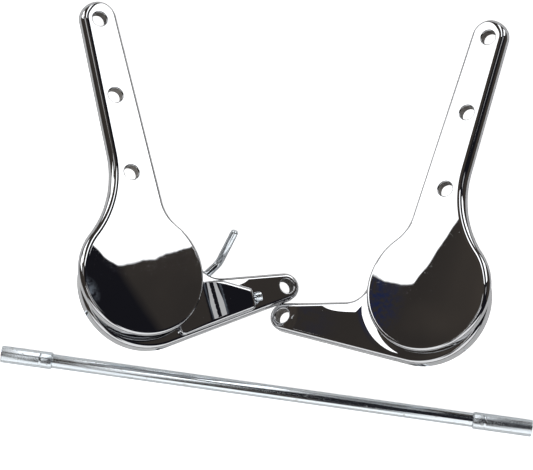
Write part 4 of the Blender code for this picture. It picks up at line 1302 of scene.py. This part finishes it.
def make_floor():
    """Pale table top, luminous to the camera; its base colour is dark beyond the board's radius."""
    bm = bmesh.new()
    bmesh.ops.create_grid(bm, x_segments=4, y_segments=4, size=FLOOR_HALF)
    mesh = bpy.data.meshes.new("table_top")
    bm.to_mesh(mesh)
    bm.free()
    floor = bpy.data.objects.new("table_top", mesh)
    bpy.context.scene.collection.objects.link(floor)
    look = Look("pale_table_top", 0.0)
    own = look.coordinates()
    grain = look.noise(own, 30.0, 3.0)
    pale = look.mix_colour(grain, (0.86, 0.86, 0.86), (0.89, 0.89, 0.885))
    away = look.vector('LENGTH', own, result="Value")
    far = look.ramp(away, BOARD_RADIUS, BOARD_RADIUS + BOARD_FADE)
    look.drive("Base Color", look.mix_colour(far, pale, FAR_FLOOR))
    look.shader.inputs["Roughness"].default_value = 0.8
    look.shader.inputs["Emission Color"].default_value = (1.0, 1.0, 1.0, 1.0)
    path = look.node("ShaderNodeLightPath")
    glow = look.ramp(away, BOARD_RADIUS, BOARD_RADIUS + BOARD_FADE, FLOOR_GLOW, 1.0)
    look.drive("Emission Strength", look.math('MULTIPLY', path.outputs["Is Camera Ray"], glow))
    mesh.materials.append(look.material)


def make_key_light():
    """One large soft light over the table, which the mirror surfaces don't show."""
    light = bpy.data.lights.new("soft_key", 'AREA')
    light.shape = 'RECTANGLE'
    light.size, light.size_y = KEY_SIZE
    light.energy = KEY_POWER
    lamp = bpy.data.objects.new("soft_key", light)
    lamp.location = KEY_PLACE
    lamp.rotation_euler = Vector(KEY_PLACE).to_track_quat('Z', 'Y').to_euler()
    lamp.visible_glossy = False
    lamp.visible_camera = False
    bpy.context.scene.collection.objects.link(lamp)


def make_camera():
    """Straight down on the set, from well above it."""
    data = bpy.data.cameras.new("overhead")
    data.sensor_fit = 'HORIZONTAL'
    data.sensor_width = 36.0
    data.lens = CAMERA_LENS
    data.clip_end = 50.0
    camera = bpy.data.objects.new("overhead", data)
    low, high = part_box("connecting_rod")
    camera.location = (0.0, (low[1] + high[1]) / 2 + CAMERA_BEHIND_ROD, CAMERA_HEIGHT)
    bpy.context.scene.collection.objects.link(camera)
    bpy.context.scene.camera = camera


# ---------------------------------------------------------------- build

plate_chrome = chrome("mirror_chrome")
drawing = (0.0, 0.0, math.radians(-ROD_HEADING))
bright_zinc = zinc("bright_zinc", (8.0, 900.0, 900.0), drawing, 0.09, 0.19)
dull_zinc = zinc("dull_zinc", (30.0, 700.0, 700.0), drawing, 0.20, 0.30)
plain_steel = machined("machined_steel", (0.50, 0.50, 0.51), (0.36, 0.355, 0.34), 0.26, 0.40)
dark_steel = machined("oiled_steel", (0.13, 0.13, 0.14), (0.08, 0.075, 0.07), 0.30, 0.45)
# Bore walls: darker steel for the thin plating in the holes, and also painted shade that darkens the bores.
bore_steel_with_painted_shade = machined("thinly_plated_bore", (0.20, 0.185, 0.17), (0.12, 0.11, 0.10), 0.18, 0.28)
bronze = machined("sintered_bronze", (0.58, 0.41, 0.22), (0.40, 0.27, 0.14), 0.30, 0.45)

views = []
for side in ("lever_hinge", "plain_hinge"):
    seat_matrix, back_matrix = hinge_matrices(side)
    views.append(seen_from_above(seat_matrix))
    make_back_arm(side, back_matrix, plate_chrome, bore_steel_with_painted_shade)
    make_seat_arm(side, seat_matrix, plate_chrome, bore_steel_with_painted_shade)
    make_shaft(side, seat_matrix, bright_zinc)
    make_bush(side, seat_matrix, bronze)
    make_rivets(side, seat_matrix, plain_steel)
    make_return_spring(side, seat_matrix, plain_steel)
    if side == "lever_hinge":
        make_lever(seat_matrix, plate_chrome)
        make_knob_stud(seat_matrix, bright_zinc)
        make_release_rod(seat_matrix, bright_zinc)
make_connecting_rod(bright_zinc, dull_zinc)

# The first look with a word from the node's name is taken.
CAD_LOOKS = ((plain_steel, ("tooth_ring", "retaining_cup", "guide", "pin", "rivet", "spring")),
             (dark_steel, ("pawl", "cam", "circlip")), (bronze, ("bush",)),
             (bright_zinc, ("shaft", "stud", "rod")), (plate_chrome, ("lever",)))
for name, node in frame["nodes"].items():
    short = name.replace("lever_hinge", "").replace("connecting_rod", "")
    for look, words in CAD_LOOKS:
        if any(word in short for word in words):
            node.data.materials.clear()
            node.data.materials.append(look)
            break

studio_world(*views)
make_floor()
make_key_light()
make_camera()
bpy.context.scene.view_settings.view_transform = 'Standard'
